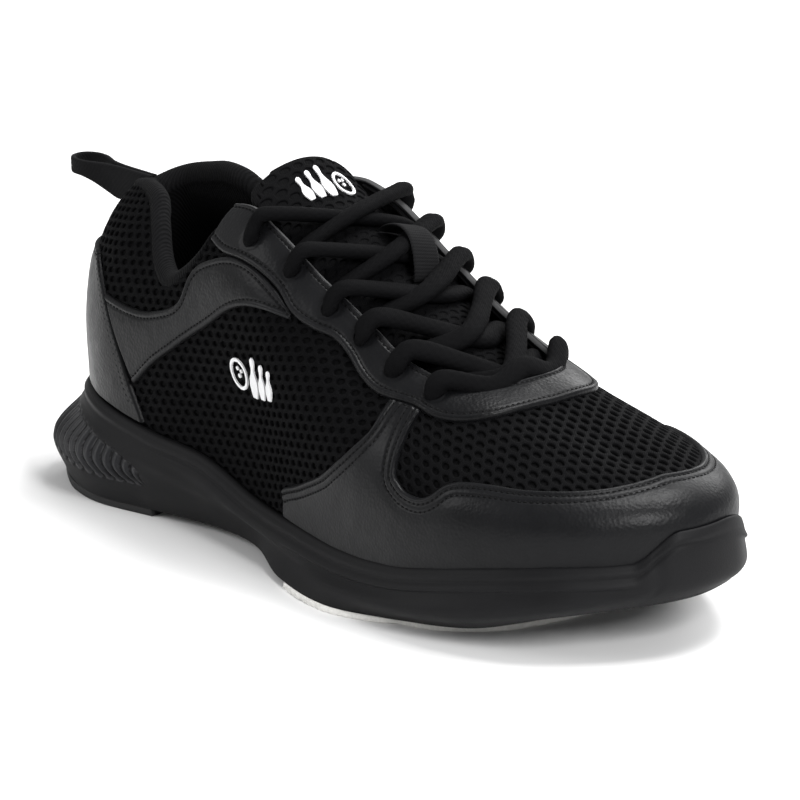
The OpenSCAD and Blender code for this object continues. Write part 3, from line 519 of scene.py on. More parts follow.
def plate_round(name, E, z0, z1, mats, round_r, body, node, bulge=0.0, noise=0.0, zf=None):
    """a flat pad from a closed outline with a rounded rim"""
    n = len(E); c = E.mean(0); rows = []
    h = z1 - z0; r = min(round_r, h / 2)
    d = np.roll(E, -1, 0) - np.roll(E, 1, 0); o = np.stack([d[:, 1], -d[:, 0]], -1); o /= np.linalg.norm(o, axis=-1, keepdims=True)
    if np.mean(np.sum(o * (E - c), -1)) < 0: o = -o
    prof = [(-26, z0), (-12, z0), (-5, z0), (-2, z0)] + [(-r + r * math.sin(a), z0 + r - r * math.cos(a)) for a in np.linspace(0.2, math.pi / 2, 4)] + \
           [(bulge, (z0 + z1) / 2)] + [(-r + r * math.cos(a), z1 - r + r * math.sin(a)) for a in np.linspace(0, math.pi / 2 - 0.2, 4)] + [(-2, z1), (-5, z1), (-12, z1), (-26, z1)]
    for dd, zz in prof:
        P = np.concatenate([E + o * dd, np.full((n, 1), zz)], -1) if dd > -6 else np.concatenate([c + (E - c) * (1 + dd / 45), np.full((n, 1), zz)], -1)
        if noise: P = P + noise3(P, 3.0, 5)[:, None] * noise * A([1, 1, 0])
        if zf is not None: P[:, 2] += zf(P[:, 0], P[:, 1])
        rows.append(P)
    G = np.stack(rows, 0)
    return closed_tube(name, G, mats, body), G


E = edge2(np.linspace(-3, 3, 220), -0.5)
back = np.stack([np.linspace(E[-1, 0], E[0, 0], 40)[1:-1], np.linspace(E[-1, 1], E[0, 1], 40)[1:-1]], -1)
back[:, 0] -= 1.2 * np.sin(np.linspace(0, np.pi, len(back)))
hp, _ = plate_round("heel_rubber_pad", np.concatenate([E[::1], back]), 0.0, 2.95, m_rub, 0.6, "shoe", "heel_pad", zf=lambda x, y: 5.0 * (1 - sst(0.5, 23, x)))
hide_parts("heel_pad")

EL = np.concatenate([edge2(np.linspace(6.1, 7.7, 90), -0.1), resample(crl(A([[201, -46.5],[214, -43.5], [226, -35], [234, -24.5], [238, -12], [240, 0], [239, 14], [233, 28], [222, 38], [210, 44.5], [201, 46.5]]), np.linspace(0, 10, 200)), 1.2)[3:-3], edge2(np.linspace(16.3, 17.9, 90), -0.1)])
back = np.stack([np.linspace(EL[-1, 0], EL[0, 0], 60)[1:-1], np.linspace(EL[-1, 1], EL[0, 1], 60)[1:-1]], -1)
sl, _ = plate_round("slide_sole_microfibre", np.concatenate([EL, back]), 0.0, 2.0, m_slide, 0.5, "shoe", "slide_sole", noise=0.25)
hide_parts("slide_sole")


# ---------------------------------------------------------------- perforated mesh fabric
def lattice_cells(S0, S1, T0, T1, px, py):
    js = np.arange(int((T1 - T0) / py)); out = []
    for j in js:
        i = np.arange(int((S1 - S0) / px))
        out.append(np.stack([S0 + px * (i + 0.5 + 0.5 * (j % 2)), T0 + py * (j + 0.5) + 0 * i], -1))
    return np.concatenate(out)


def perforated(name, cells, px, py, place, mat, body="shoe", rx=1.78, ry=1.12, crown=0.30, deep=0.72, jitter=0.05):
    """a knitted sheet: one hexagon of yarn round each hole. place(S, T, d) gives points in mm"""
    h1, h2 = 2 / 3 * py, py / 3
    corner = A([(px / 2, -h2), (px / 2, h2), (0, h1), (-px / 2, h2), (-px / 2, -h2), (0, -h1)])
    B = np.empty((12, 2)); B[0::2] = corner; B[1::2] = (corner + np.roll(corner, -1, 0)) / 2
    ang = np.arctan2(B[:, 1] / ry, B[:, 0] / rx)
    R = np.stack([np.cos(ang) * rx, np.sin(ang) * ry], -1)
    db = np.tile([crown * 0.55, crown * 0.85], 6)
    n = len(cells)
    r = np.random.default_rng(11)
    jit = 1 + r.normal(size=(n, 1, 1)) * jitter
    cc = cells[:, None, :]
    rb, rm, ri, rd = cc + B, cc + (B * 0.42 + R * 0.62), cc + R * jit, cc + R * jit * 0.93
    ST = np.stack([rb, rm, ri, rd], 1)                       # n,4,12,2
    dd = np.stack([np.tile(db, (n, 1)), np.full((n, 12), crown), np.full((n, 12), crown * 0.35), np.full((n, 12), -deep)], 1)
    P = place(ST[..., 0], ST[..., 1], dd)
    V = P.reshape(-1, 3)
    base = (np.arange(n) * 48)[:, None, None]
    j = np.arange(12); j2 = (j + 1) % 12
    Q = np.concatenate([np.stack([a * 12 + j, a * 12 + j2, (a + 1) * 12 + j2, (a + 1) * 12 + j], -1) for a in range(3)])
    F = (Q[None] + base).reshape(-1, 4)
    # merge the shared cell borders
    key = np.full((n, 4, 12, 2), 0.0); key[:] = ST
    kb = np.round(ST[:, 0].reshape(-1, 2) * 50).astype(np.int64)
    u, inv = np.unique(kb, axis=0, return_inverse=True); inv = inv.reshape(-1)
    idx = np.arange(n * 48).reshape(n, 4, 12)
    first = np.zeros(len(u), np.int64); first[inv[::-1]] = idx[:, 0].reshape(-1)[::-1]
    remap = np.arange(n * 48); remap[idx[:, 0].reshape(-1)] = first[inv]
    F = remap[F]
    used, F2 = np.unique(F, return_inverse=True); F = F2.reshape(F.shape)
    ob = raw(name, M(V[used]), F, mat, body)
    return ob


# arc-length tables for the quarters
KG = np.linspace(-8.4, 8.4, 841); VG = 0.98 * np.linspace(0, 1, 260) ** 2.2
KK, VV = np.meshgrid(KG, VG, indexing="ij")
PG = srf(KK, VV)
TG = np.concatenate([np.zeros((len(KG), 1)), np.cumsum(np.linalg.norm(np.diff(PG, axis=1), axis=-1), axis=1)], 1)
SG = arclen(srf(KG, np.full(len(KG), 0.22))); SG -= np.interp(0, KG, SG)
TREG = np.linspace(0, 125, 251)
VREG = np.stack([np.interp(TREG, TG[i], VG) for i in range(len(KG))])      # v at k, t
# ground fabric limits along the top
def place_side(S, T, d, dv=0.0):
    k = np.interp(S, SG, KG)
    a = (k - KG[0]) / (KG[1] - KG[0]); i = np.clip(a.astype(int), 0, len(KG) - 2); f = a - i
    b = np.clip(T / 0.5, 0, 249.99); j = b.astype(int); g = b - j
    v = (VREG[i, j] * (1 - f) + VREG[i + 1, j] * f) * (1 - g) + (VREG[i, j + 1] * (1 - f) + VREG[i + 1, j + 1] * f) * g
    v = np.clip(v, 1e-5, cv(k) + dv)
    return pt(k, v, d)


def side_kv(S, T):
    k = np.interp(S, SG, KG)
    a = (k - KG[0]) / (KG[1] - KG[0]); i = np.clip(a.astype(int), 0, len(KG) - 2)
    j = np.clip((T / 0.5).astype(int), 0, 250)
    return k, VREG[i, j]


def keep_side(C):
    k, v = side_kv(C[:, 0], C[:, 1])
    ak = np.abs(k)
    ok = (v < cv(k) + 0.02) & (ak < 7.75)
    heel = (ak < tab(HV, HK, np.clip(v, 0, 0.4)) - 0.12) & (v < 0.355)
    toe = (ak > 7.05) & (v < 0.27)
    eye = (ak > 4.3) & (v > np.interp(ak, EO[:, 0], EO[:, 1]) + 0.05)
    return ok & ~heel & ~toe & ~eye


PXm, PYm = 5.0, 3.2


def row_shift(S):
    """how far above the feather line a level knitted row lies"""
    k = np.interp(S, SG, KG)
    return crp(ZF, k) - 0.17 * np.abs(S)


def place_rows(S, T, d): return place_side(S, np.maximum(0, T - row_shift(S)), d)


C = lattice_cells(-260, 260, -30.0, 160, PXm, PYm)
C0 = C.copy(); C0[:, 1] -= row_shift(C[:, 0])
C = C[keep_side(C0) & (C0[:, 1] > -1.5)]
Cl, Cm = C[C[:, 0] >= 0], C[C[:, 0] < 0]
ob = perforated("quarter_air_mesh_lateral", Cl, PXm, PYm, place_rows, m_mesh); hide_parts("quarter_mesh_lateral")
ob = perforated("quarter_air_mesh_medial", Cm, PXm, PYm, place_rows, m_mesh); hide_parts("quarter_mesh_medial")

# ground cloth behind the holes, all round
K, W = np.meshgrid(np.linspace(-8.28, 8.28, 400), np.linspace(0, 1, 50), indexing="ij")
V_ = cv(K) * W ** 2.0
gA, gB = pt(K, V_, np.full(K.shape, -0.72)), pt(K, V_, np.full(K.shape, -1.3))
nu, nv = K.shape
join("quarter_ground_cloth", [(gA, quads(nu, nv), 0), (gB, quads(nu, nv, flip=True), 0)], [m_back], "shoe")

# the vamp: a height field over the plan, laid out by arc length across
xs = np.arange(186, 286, 1.0); ys = np.arange(-50, 50.1, 0.5)
kq, vq = np.meshgrid(np.linspace(6.8, 17.2, 700), np.linspace(0.02, 1.0, 260), indexing="ij")
Pq = up(kq, vq)
ix = np.round(Pq[..., 0] - xs[0]).astype(int); iy = np.round((Pq[..., 1] - ys[0]) / 0.5).astype(int)
ok = (ix >= 0) & (ix < len(xs)) & (iy >= 0) & (iy < len(ys))
K0 = np.full((len(xs), len(ys)), np.nan); V0 = K0.copy()
K0[ix[ok], iy[ok]] = kq[ok]; V0[ix[ok], iy[ok]] = vq[ok]
for _ in range(40):                               # spread the guesses outwards
    bad = np.isnan(K0)
    if not bad.any(): break
    for sh, ax in ((1, 0), (-1, 0), (1, 1), (-1, 1)):
        r = np.roll(K0, sh, ax); r2 = np.roll(V0, sh, ax)
        m = np.isnan(K0) & ~np.isnan(r); K0[m] = r[m]; V0[m] = r2[m]
X_, Y_ = np.meshgrid(xs, ys, indexing="ij")
kN, vN = K0.copy(), V0.copy()
for _ in range(14):
    P = up(kN, vN); e = 1e-3
    Pk = (up(kN + e, vN) - P) / e; Pv = (up(kN, vN - e) - P) / -e
    rx_, ry_ = X_ - P[..., 0], Y_ - P[..., 1]
    det = Pk[..., 0] * Pv[..., 1] - Pk[..., 1] * Pv[..., 0]
    det = np.where(np.abs(det) < 1e-3, np.sign(det + 1e-12) * 1e-3, det)
    dk = np.clip((rx_ * Pv[..., 1] - ry_ * Pv[..., 0]) / det, -0.3, 0.3)
    dvv = np.clip((Pk[..., 0] * ry_ - Pk[..., 1] * rx_) / det, -0.05, 0.05)
    kN = np.clip(kN + dk, 6.5, 17.5); vN = np.clip(vN + dvv, 0.0, 1.0)
PN = up(kN, vN)
good = np.hypot(PN[..., 0] - X_, PN[..., 1] - Y_) < 0.25
ZN = PN[..., 2]
# the ridge itself is smooth: mend the seam where columns of both sides meet
for i in range(len(xs)):
    g = good[i]
    if g.sum() > 10:
        ZN[i] = np.interp(ys, ys[g], ZN[i][g])
ker = A([1, 4, 6, 4, 1]) / 16
for _ in range(2):
    Zp = np.pad(ZN, ((0, 0), (2, 2)), mode="edge"); ZN = sum(ker[a] * Zp[:, a:a + len(ys)] for a in range(5))
    Zp = np.pad(ZN, ((2, 2), (0, 0)), mode="edge"); ZN = sum(ker[a] * Zp[a:a + len(xs)] for a in range(5))
zx = np.gradient(ZN, 1.0, axis=0); zy = np.gradient(ZN, 0.5, axis=1)
L_ = np.concatenate([np.zeros((len(xs), 1)), np.cumsum(np.hypot(0.5, np.diff(ZN, axis=1)), 1)], 1)
mid = np.argmin(np.abs(ys - 2))
L_ = L_ - L_[:, mid:mid + 1]
AREG = np.linspace(-90, 90, 721)
YREG = np.stack([np.interp(AREG, L_[i], ys) for i in range(len(xs))])


def bil(F, a, b):
    i = np.clip(a.astype(int), 0, F.shape[0] - 2); j = np.clip(b.astype(int), 0, F.shape[1] - 2); f = np.clip(a - i, 0, 1); g = np.clip(b - j, 0, 1)
    return (F[i, j] * (1 - f) + F[i + 1, j] * f) * (1 - g) + (F[i, j + 1] * (1 - f) + F[i + 1, j + 1] * f) * g


def place_vamp(S, T, d):
    a = S - xs[0]
    y = bil(YREG, a, (T + 90) / 0.25)
    b = (y - ys[0]) / 0.5
    z = bil(ZN, a, b); gx = bil(zx, a, b); gy = bil(zy, a, b)
    n = np.stack([-gx, -gy, np.ones_like(gx)], -1); n /= np.linalg.norm(n, axis=-1, keepdims=True)
    return np.stack([S, y, z], -1) + n * np.asarray(d)[..., None]


C = lattice_cells(188, 284, -76, 76, PXm * 0.98, PYm)
a = C[:, 0] - xs[0]; y = bil(YREG, a, (C[:, 1] + 90) / 0.25); b = (y - ys[0]) / 0.5
ck, cvn, gd = bil(kN, a, b), bil(vN, a, b), bil(good.astype(float), a, b)
qk = np.where(ck > 12, 24 - ck, ck)
guard = np.interp(qk, GK, GV)
thr = (qk < 8.26) & (cvn > np.interp(qk, EI[:, 0], EI[:, 1]) - 0.02) | (C[:, 0] < 213) & (np.abs(y - 2) < 12)
under = (qk > 8.0) & (cvn < guard - 0.07)
okc = (qk > 7.55) & ~thr & ~under & (np.abs(y) < 47) & (cvn > 0.1) & (C[:, 0] < 281)
ob = perforated("vamp_air_mesh", C[okc], PXm * 0.98, PYm, place_vamp, m_mesh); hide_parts("vamp_mesh")
K, W = np.meshgrid(np.linspace(8.2, 12, 90), 1 - np.sign(np.linspace(1, -1, 121)) * np.abs(np.linspace(1, -1, 121)) ** 0.6, indexing="ij")
VA = pt(K, W, np.full(K.shape, -0.8)); VB = pt(K, W, np.full(K.shape, -1.4))
nu, nv = K.shape
join("vamp_ground_cloth", [(VA, quads(nu, nv), 0), (VB, quads(nu, nv, flip=True), 0)], [m_back], "shoe")


# ---------------------------------------------------------------- leather overlays with folded edges and real stitches
STITCH = []


def capsule():
    a = np.linspace(0, 2 * np.pi, 7)[:-1]; P = []
    for x, r in ((-1.0, 0.25), (-0.82, 0.8), (-0.4, 1.0), (0.4, 1.0), (0.82, 0.8), (1.0, 0.25)):
        P.append(np.stack([np.full(6, x), r * np.cos(a), r * np.sin(a)], -1))
    return np.stack(P)


CAPS = capsule(); CAPQ = np.concatenate([quads(6, 6, cvv=True), ])


def stitches(line, nor, pitch=2.0, length=1.5, rad=0.36, lift=0.0):
    s = arclen(line); n = int(s[-1] / pitch)
    if n < 2: return
    c = (np.arange(n) + 0.5) * s[-1] / n
    f = lambda t, P: np.stack([np.interp(t, s, P[:, i]) for i in range(3)], -1)
    p, nn = f(c, line), f(c, nor); nn /= np.linalg.norm(nn, axis=-1, keepdims=True)
    t = f(c + length / 2, line) - f(c - length / 2, line); t /= np.linalg.norm(t, axis=-1, keepdims=True)
    b = np.cross(nn, t)
    X = CAPS[..., 0] * length / 2; Y = CAPS[..., 1] * rad; Z = CAPS[..., 2] * rad
    drop = -0.35 * (np.abs(CAPS[..., 0]) ** 3)
    P = (p[:, None, None] + t[:, None, None] * X[None, ..., None] + b[:, None, None] * Y[None, ..., None] + nn[:, None, None] * (Z + drop + lift)[None, ..., None])
    STITCH.append(P.reshape(-1, 3))


def mindist(P, L):
    """distance of points P to the polyline samples L"""
    out = np.empty(len(P))
    for i in range(0, len(P), 4000):
        out[i:i + 4000] = np.sqrt(((P[i:i + 4000, None] - L[None]) ** 2).sum(-1).min(1))
    return out


def overlay(name, K, V, edges, node, rows=((2.0,),), top=1.5, rim=1.1, holes=None, seed=0, pitch=2.0, mats=None, low=-0.3, puff=0.18, raw_edge=None, sink=None):
    """K, V: grids of surface parameters; edges: list of boundary index arrays that are folded; rows: stitch rows' distances for each edge"""
    P0 = srf(K, V); Nn = nrm(K, V); nu, nv = K.shape
    flat = P0.reshape(-1, 3)
    d = np.full(nu * nv, top); dist = []
    for e in edges:
        dist.append(mindist(flat, flat[e]))
    D = np.min(np.stack(dist), 0)
    x = np.clip(D / rim, 0, 1)
    d = 0.15 + (top - 0.15) * np.sqrt(1 - (1 - x) ** 2)
    for di, rr in zip(dist, rows):
        for r in rr:
            d = d - 0.36 * np.exp(-((di - r) / 0.40) ** 2)
        if rr:
            d = d + puff * np.exp(-((di - rr[0] * 0.5) / (0.35 * rr[0])) ** 2) + puff * 0.8 * sst(rr[-1] + 0.6, rr[-1] + 4, di)
    d = d + 0.10 * noise3(flat, 26, 40 + seed, 3) * sst(1, 5, D)
    if sink is not None: d = d - 1.25 * sink(K, V).ravel()
    if holes is not None:
        for hk, hv in holes:
            h = srf(A([hk]), A([hv]))[0]; r = np.linalg.norm(flat - h, axis=-1)
            d = d - 2.7 * (1 - sst(2.0, 2.75, r)) - 0.22 * np.exp(-((r - 3.6) / 0.9) ** 2)
    top_ = (flat + Nn.reshape(-1, 3) * d[:, None]).reshape(nu, nv, 3)
    bot_ = (flat + Nn.reshape(-1, 3) * low).reshape(nu, nv, 3)
    n = nu * nv
    F = [quads(nu, nv), quads(nu, nv, flip=True, off=n)]
    idx = np.arange(n).reshape(nu, nv)
    for b, fl in ((idx[0], True), (idx[-1], False), (idx[:, 0], False), (idx[:, -1], True)):
        q = np.stack([b[:-1], b[1:], b[1:] + n, b[:-1] + n], -1)
        F.append(q[:, ::-1] if not fl else q)
    F = np.concatenate(F)
    mi = np.zeros(len(F), int)
    if raw_edge is not None:
        cellD = dist[raw_edge].reshape(nu, nv)[:-1, :-1].ravel()
        mi[:len(cellD)][cellD < 0.55] = 1
    ob = raw(name, M(np.concatenate([top_.reshape(-1, 3), bot_.reshape(-1, 3)])), F, mats or [m_lea, m_lea_edge], "shoe", mi=mi)
    if node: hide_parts(*node)
    # stitch rows: contour of constant distance along the grid's columns
    for (e, rr, di) in zip(edges, rows, dist):
        Dg = di.reshape(nu, nv)
        for r in rr:
            path = []
            for i in range(nu):
                c = Dg[i]
                s = np.where((c[:-1] - r) * (c[1:] - r) <= 0)[0]
                if len(s) == 0: continue
                j = s[-1] if np.argmin(c) > nv // 2 else s[0]
                f = (r - c[j]) / (c[j + 1] - c[j] + 1e-9)
                path.append(np.concatenate([top_[i, j] * (1 - f) + top_[i, j + 1] * f, Nn[i, j]]))
            if len(path) > 4:
                path = A(path)
                gaps = np.linalg.norm(np.diff(path[:, :3], axis=0), axis=-1)
                cuts = np.where(gaps > 9)[0] + 1
                for seg in np.split(path, cuts):
                    if len(seg) > 4: stitches(seg[:, :3], seg[:, 3:], pitch)
    return ob


def seam_edge(nu, nv, which):
    idx = np.arange(nu * nv).reshape(nu, nv)
    return {"w1": idx[:, -1], "w0": idx[:, 0], "u0": idx[0], "u1": idx[-1]}[which]


# toe guard
gi = np.concatenate([A(GK), 24 - A(GK)[-2::-1]]); gv = np.concatenate([A(GV), A(GV)[-2::-1]])
ui = np.linspace(0, len(gi) - 1, 760)
gl = crl(np.stack([gi, gv], -1), ui)
wq = 0.5 - 0.5 * np.cos(np.pi * np.linspace(0, 1, 80)); wq = 1 - (1 - wq) ** 1.2
K = np.repeat(gl[:, :1], len(wq), 1); V = 0.0004 + (gl[:, 1:] - 0.0004) * wq[None]
overlay("toe_guard_leather", K, V, [seam_edge(*K.shape, "w1")], ["toe_guard"], rows=((2.1, 4.5),), seed=1, sink=lambda K, V: sst(-0.012, 0.012, np.where(V > 1, 2 - V, V) - np.interp(np.minimum(K, 24 - K), EO[:, 0], EO[:, 1])) * (np.minimum(K, 24 - K) < 8.2))

# eyestay
si = np.linspace(0, 34, 900); sm = si > 17; sq = np.where(sm, 34 - si, si)
ea, eb = crl(EO, sq), crl(EI, sq)
ww = 0.5 - 0.5 * np.cos(np.pi * np.linspace(0, 1, 56))
Pk = ea[:, None, 0] + (eb - ea)[:, None, 0] * ww[None]; Pv = ea[:, None, 1] + (eb - ea)[:, None, 1] * ww[None]
Pv = np.where(sm[:, None], 2 - Pv, Pv)
hl = [(e[0], e[1]) for e in EYE] + [(e[0], 2 - e[1]) for e in EYM]
overlay("eyestay_leather", Pk, Pv, [seam_edge(*Pk.shape, "w0"), seam_edge(*Pk.shape, "w1"), seam_edge(*Pk.shape, "u0"), seam_edge(*Pk.shape, "u1")], ["eyestay"],
        rows=((2.5,), (1.9,), (), ()), holes=hl, seed=2, top=1.75, raw_edge=1)

# side panels
for nm, sg in (("lateral", 1), ("medial", -1)):
    u = np.linspace(0, 1, 300)
    a_, b_ = crl(SL, u * 6), crl(SU, u * 6)
    w_ = 0.5 - 0.5 * np.cos(np.pi * np.linspace(0, 1, 44))
    kk_ = a_[:, None, 0] + (b_ - a_)[:, None, 0] * w_; vv_ = a_[:, None, 1] + (b_ - a_)[:, None, 1] * w_
    if sg < 0: kk_, vv_ = -kk_[:, ::-1], vv_[:, ::-1]
    ed = [seam_edge(*kk_.shape, "w0"), seam_edge(*kk_.shape, "w1")]
    overlay(f"side_panel_leather_{nm}", kk_, vv_, ed, [f"side_panel_{nm}"], rows=((2.3,), (2.3,)), seed=3, top=1.4, sink=lambda K, V: np.maximum(sst(-0.012, 0.012, V - np.interp(np.abs(K), EO[:, 0], EO[:, 1])) * (np.abs(K) > 4.2), 1 - sst(-0.03, 0.03, np.abs(K) - tab(HV, HK, np.clip(V, 0, 0.4)))))

# heel overlay
u = np.linspace(0, 1, 420); w_ = 0.5 - 0.5 * np.cos(np.pi * np.linspace(0, 1, 64))
U, W = np.meshgrid(2 * u - 1, w_, indexing="ij")
K = np.sign(U) * np.abs(U) * tab(HV, HK, 0.37 * W); V = 0.006 + 0.36 * W
overlay("heel_overlay_leather", K, V, [seam_edge(*K.shape, "u0"), seam_edge(*K.shape, "u1"), seam_edge(*K.shape, "w1")], ["heel_overlay"], rows=((), (), (2.0,)), seed=4, top=1.5)
# its two front edges are stitched twice
for sg in (1, -1):
    for off in (2.0, 4.4):
        vv_ = np.linspace(0.03, 0.345, 200); kk_ = tab(HV, HK, vv_ - 0.006)
        L0 = srf(sg * kk_, vv_); dk_ = 0.02; sc = np.linalg.norm(srf(sg * (kk_ - dk_), vv_) - L0, axis=-1) / dk_
        k2 = sg * (kk_ - off / sc)
        stitches(pt(k2, vv_, 1.42), nrm(k2, vv_))

# all the stitches, joined into one thread mesh
V_ = np.concatenate(STITCH); nS = len(V_) // 36
F_ = (CAPQ[None] + (np.arange(nS) * 36)[:, None, None]).reshape(-1, 4)
ob = raw("stitching_thread", M(V_), F_, m_thr, "shoe")


# ---------------------------------------------------------------- collar: padded roll and ribbed lining
def collar(name):
    ks = np.linspace(-5.6, 5.6, 620)
    G = []
    thick = 1 - sst(4.0, 4.5, np.abs(ks)) * 0.45
    t = cv(ks)
    # mm per unit v near the top of each column
    e = 0.02
    per = np.linalg.norm(srf(ks, t) - srf(ks, t - e), axis=-1) / e
    rows = []

    def add(vv, dd): rows.append(pt(ks, vv, dd))
    und = sst(4.0, 4.35, np.abs(ks))              # tucked under the eyestay from here on
    R = (lo(ks, t) + 1.0 + 0.6) / 2 * thick        # radius of the roll
    c = -R + 0.7 * (1 - und) - 0.4 * und
    h = R * (1.0 - 0.55 * und)
    for q in (7.0, 5.0, 3.6): add(t - q / per, -1.5 + 0 * ks)
    add(t - 2.4 / per, -0.9 + 0 * ks)
    for a in np.linspace(-0.25, 1.0, 16) * np.pi:
        add(t + (h * np.sin(a)) / per, c + R * np.cos(a))
    # inside: foam bulge, then down to the insole
    low = 0.016
    for f in np.linspace(0.05, 1, 46):
        vv = (t + 0 / per) * (1 - f) + low * f
        bul = 2.6 * np.sin(np.pi * np.clip(f / 0.62, 0, 1)) ** 1.2 * (1 - sst(3.6, 4.6, np.abs(ks)))
        dd = np.where(True, -(lo(ks, vv) + 1.0) * (thick * (1 - f) + f) - bul, 0)
        add(vv, dd)
    for f in (1.0, 0.7, 0.4, 0.16):
        vv = t * (1 - f) + low * f
        add(vv, -1.9 + 0 * ks - 0.4 * f)
    G = np.stack(rows, 1)
    # fine vertical ribs knitted into the lining, and the yarn of the roll
    S = arclen(srf(ks, np.full(len(ks), 0.4)))
    rib = 0.035 * np.sin(S[:, None] / 1.1 * 2 * np.pi)
    d = np.gradient(G, axis=1); b = np.gradient(G, axis=0); n = np.cross(b, d); n /= np.maximum(1e-9, np.linalg.norm(n, axis=-1, keepdims=True))
    m = np.zeros(G.shape[1]); m[6:-6] = 1
    G = G + n * (rib * m)[..., None]
    ob = closed_tube(name, G, m_lin, "shoe")
    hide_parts("collar_lining", "collar_foam")
    return ob


collar("padded_collar_lining")
K, W = np.meshgrid(np.linspace(-8.28, -5.4, 80), np.linspace(0, 1, 30), indexing="ij")
parts = []
for sg in (1, -1):
    Kk = K * sg; Vv = 0.01 + (cv(Kk) - 0.01) * W
    a_, b_ = pt(Kk, Vv, -2.9 + 0 * Kk), pt(Kk, Vv, -3.8 + 0 * Kk)
    fl = sg < 0
    parts += [(a_, quads(80, 30, flip=fl), 0), (b_, quads(80, 30, flip=not fl), 0)]
join("midfoot_lining", parts, [m_lin], "shoe")
K, W = np.meshgrid(np.linspace(8.2, 12, 70), np.linspace(0.004, 1.996, 90), indexing="ij")
ob = join("vamp_textile_lining", [(pt(K, W, -2.9 + 0 * K), quads(70, 90), 0), (pt(K, W, -3.8 + 0 * K), quads(70, 90, flip=True), 0)], [m_lin], "shoe")
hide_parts("vamp_lining")

# sockliner: a moulded footbed with a raised rim
kk = np.linspace(0.35, 11.4, 150); cols = []
for f in np.concatenate([-np.cos(np.linspace(0, np.pi, 41))]):
    p = ring3(kk, -9.2 + 0 * kk, 0 * kk); q = ring3(24 - kk, -9.2 + 0 * kk, 0 * kk)
    z = (crp(ZF, kk) + crp(ZF, 24 - kk)) / 2 + (crp(ZF, 24 - kk) - crp(ZF, kk)) / 2 * f
    xy = p * (1 - f) / 2 + q * (1 + f) / 2
    cup = 1.6 * abs(f) ** 4 * (1 - sst(140, 190, xy[:, 0]))
    cols.append((xy, z, cup, f))
top = [np.stack([c[0][:, 0], c[0][:, 1], c[1] + 7 - 0.9 * (1 - abs(c[3])**6) * 0.4 + c[2] - (1.4 if abs(c[3]) > 0.999 else 0)], -1) for c in cols]
bot = [np.stack([c[0][:, 0], c[0][:, 1], c[1] + 3.0], -1) for c in cols[::-1]]
G = np.stack(top + bot, 1)
ob = closed_tube("sockliner_footbed", G, m_foot, "sockliner", flip=True)
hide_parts("sockliner")


# ---------------------------------------------------------------- tongue
def tongue_profile(t, n=72):
    """closed section: over the top from one edge to the other, back underneath"""
    th = 7.0
    a = np.linspace(0, 2 * np.pi, n, endpoint=False)
    s = -np.cos(a)
    up_ = np.sin(a)
    s_ = np.sign(s) * np.abs(s) ** 0.85
    d = np.where(up_ >= 0, -1.2 + 1.2 * np.abs(up_) ** 0.5, -1.2 - (th - 1.2) * np.abs(up_) ** 0.6)
    return s_, d


ts = np.concatenate([np.linspace(0, 9.2, 120), np.linspace(9.25, 12, 60)])
sp, dp = tongue_profile(0)
T_, S_ = np.meshgrid(ts, sp, indexing="ij"); D_ = np.tile(dp, (len(ts), 1))
fat = 1 - 0.5 * (1 - sst(0, 1.2, T_)) - 0.0
end = np.sqrt(np.clip((12.12 - T_) / 0.9, 0, 1)); end = np.where(T_ > 11.2, end, 1)
D_ = -1.0 + (D_ + 1.0) * fat * end
G = tp(T_, S_ * 0.985, D_)
ob = closed_tube("tongue_padding", G, m_back, None, flip=False)
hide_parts("tongue_mesh", "tongue_foam", "tongue_lining", "tongue_top")
TONGUE = [ob]

TA = arclen(tg(np.linspace(0, 12, 400), np.zeros(400))); TB = np.linspace(0, 12, 400)


def place_tongue(S, T, d):
    t = np.interp(T, TA, TB); w = tab(TT, TW, t)
    s = np.clip(S / w, -0.99, 0.99)
    x = np.abs(s)
    dd = -1.2 + 1.2 * np.power(np.clip(1 - x ** 2.35, 0, 1), 0.25) + 0.25
    end = np.where(t > 11.2, np.sqrt(np.clip((12.12 - t) / 0.9, 0, 1)), 1)
    dd = -1.0 + (dd + 1.0) * end
    return tp(t, s * 0.985, dd + d)


C = lattice_cells(-34, 34, 6, TA[-1] + 2, PXm * 0.94, PYm)
t_ = np.interp(C[:, 1], TA, TB); w_ = tab(TT, TW, t_)
C = C[(np.abs(C[:, 0]) < w_ - 0.2) & (C[:, 1] < TA[-1] - 0.8)]
ob = perforated("tongue_air_mesh", C, PXm * 0.94, PYm, place_tongue, m_mesh, body=None)
TONGUE.append(ob)

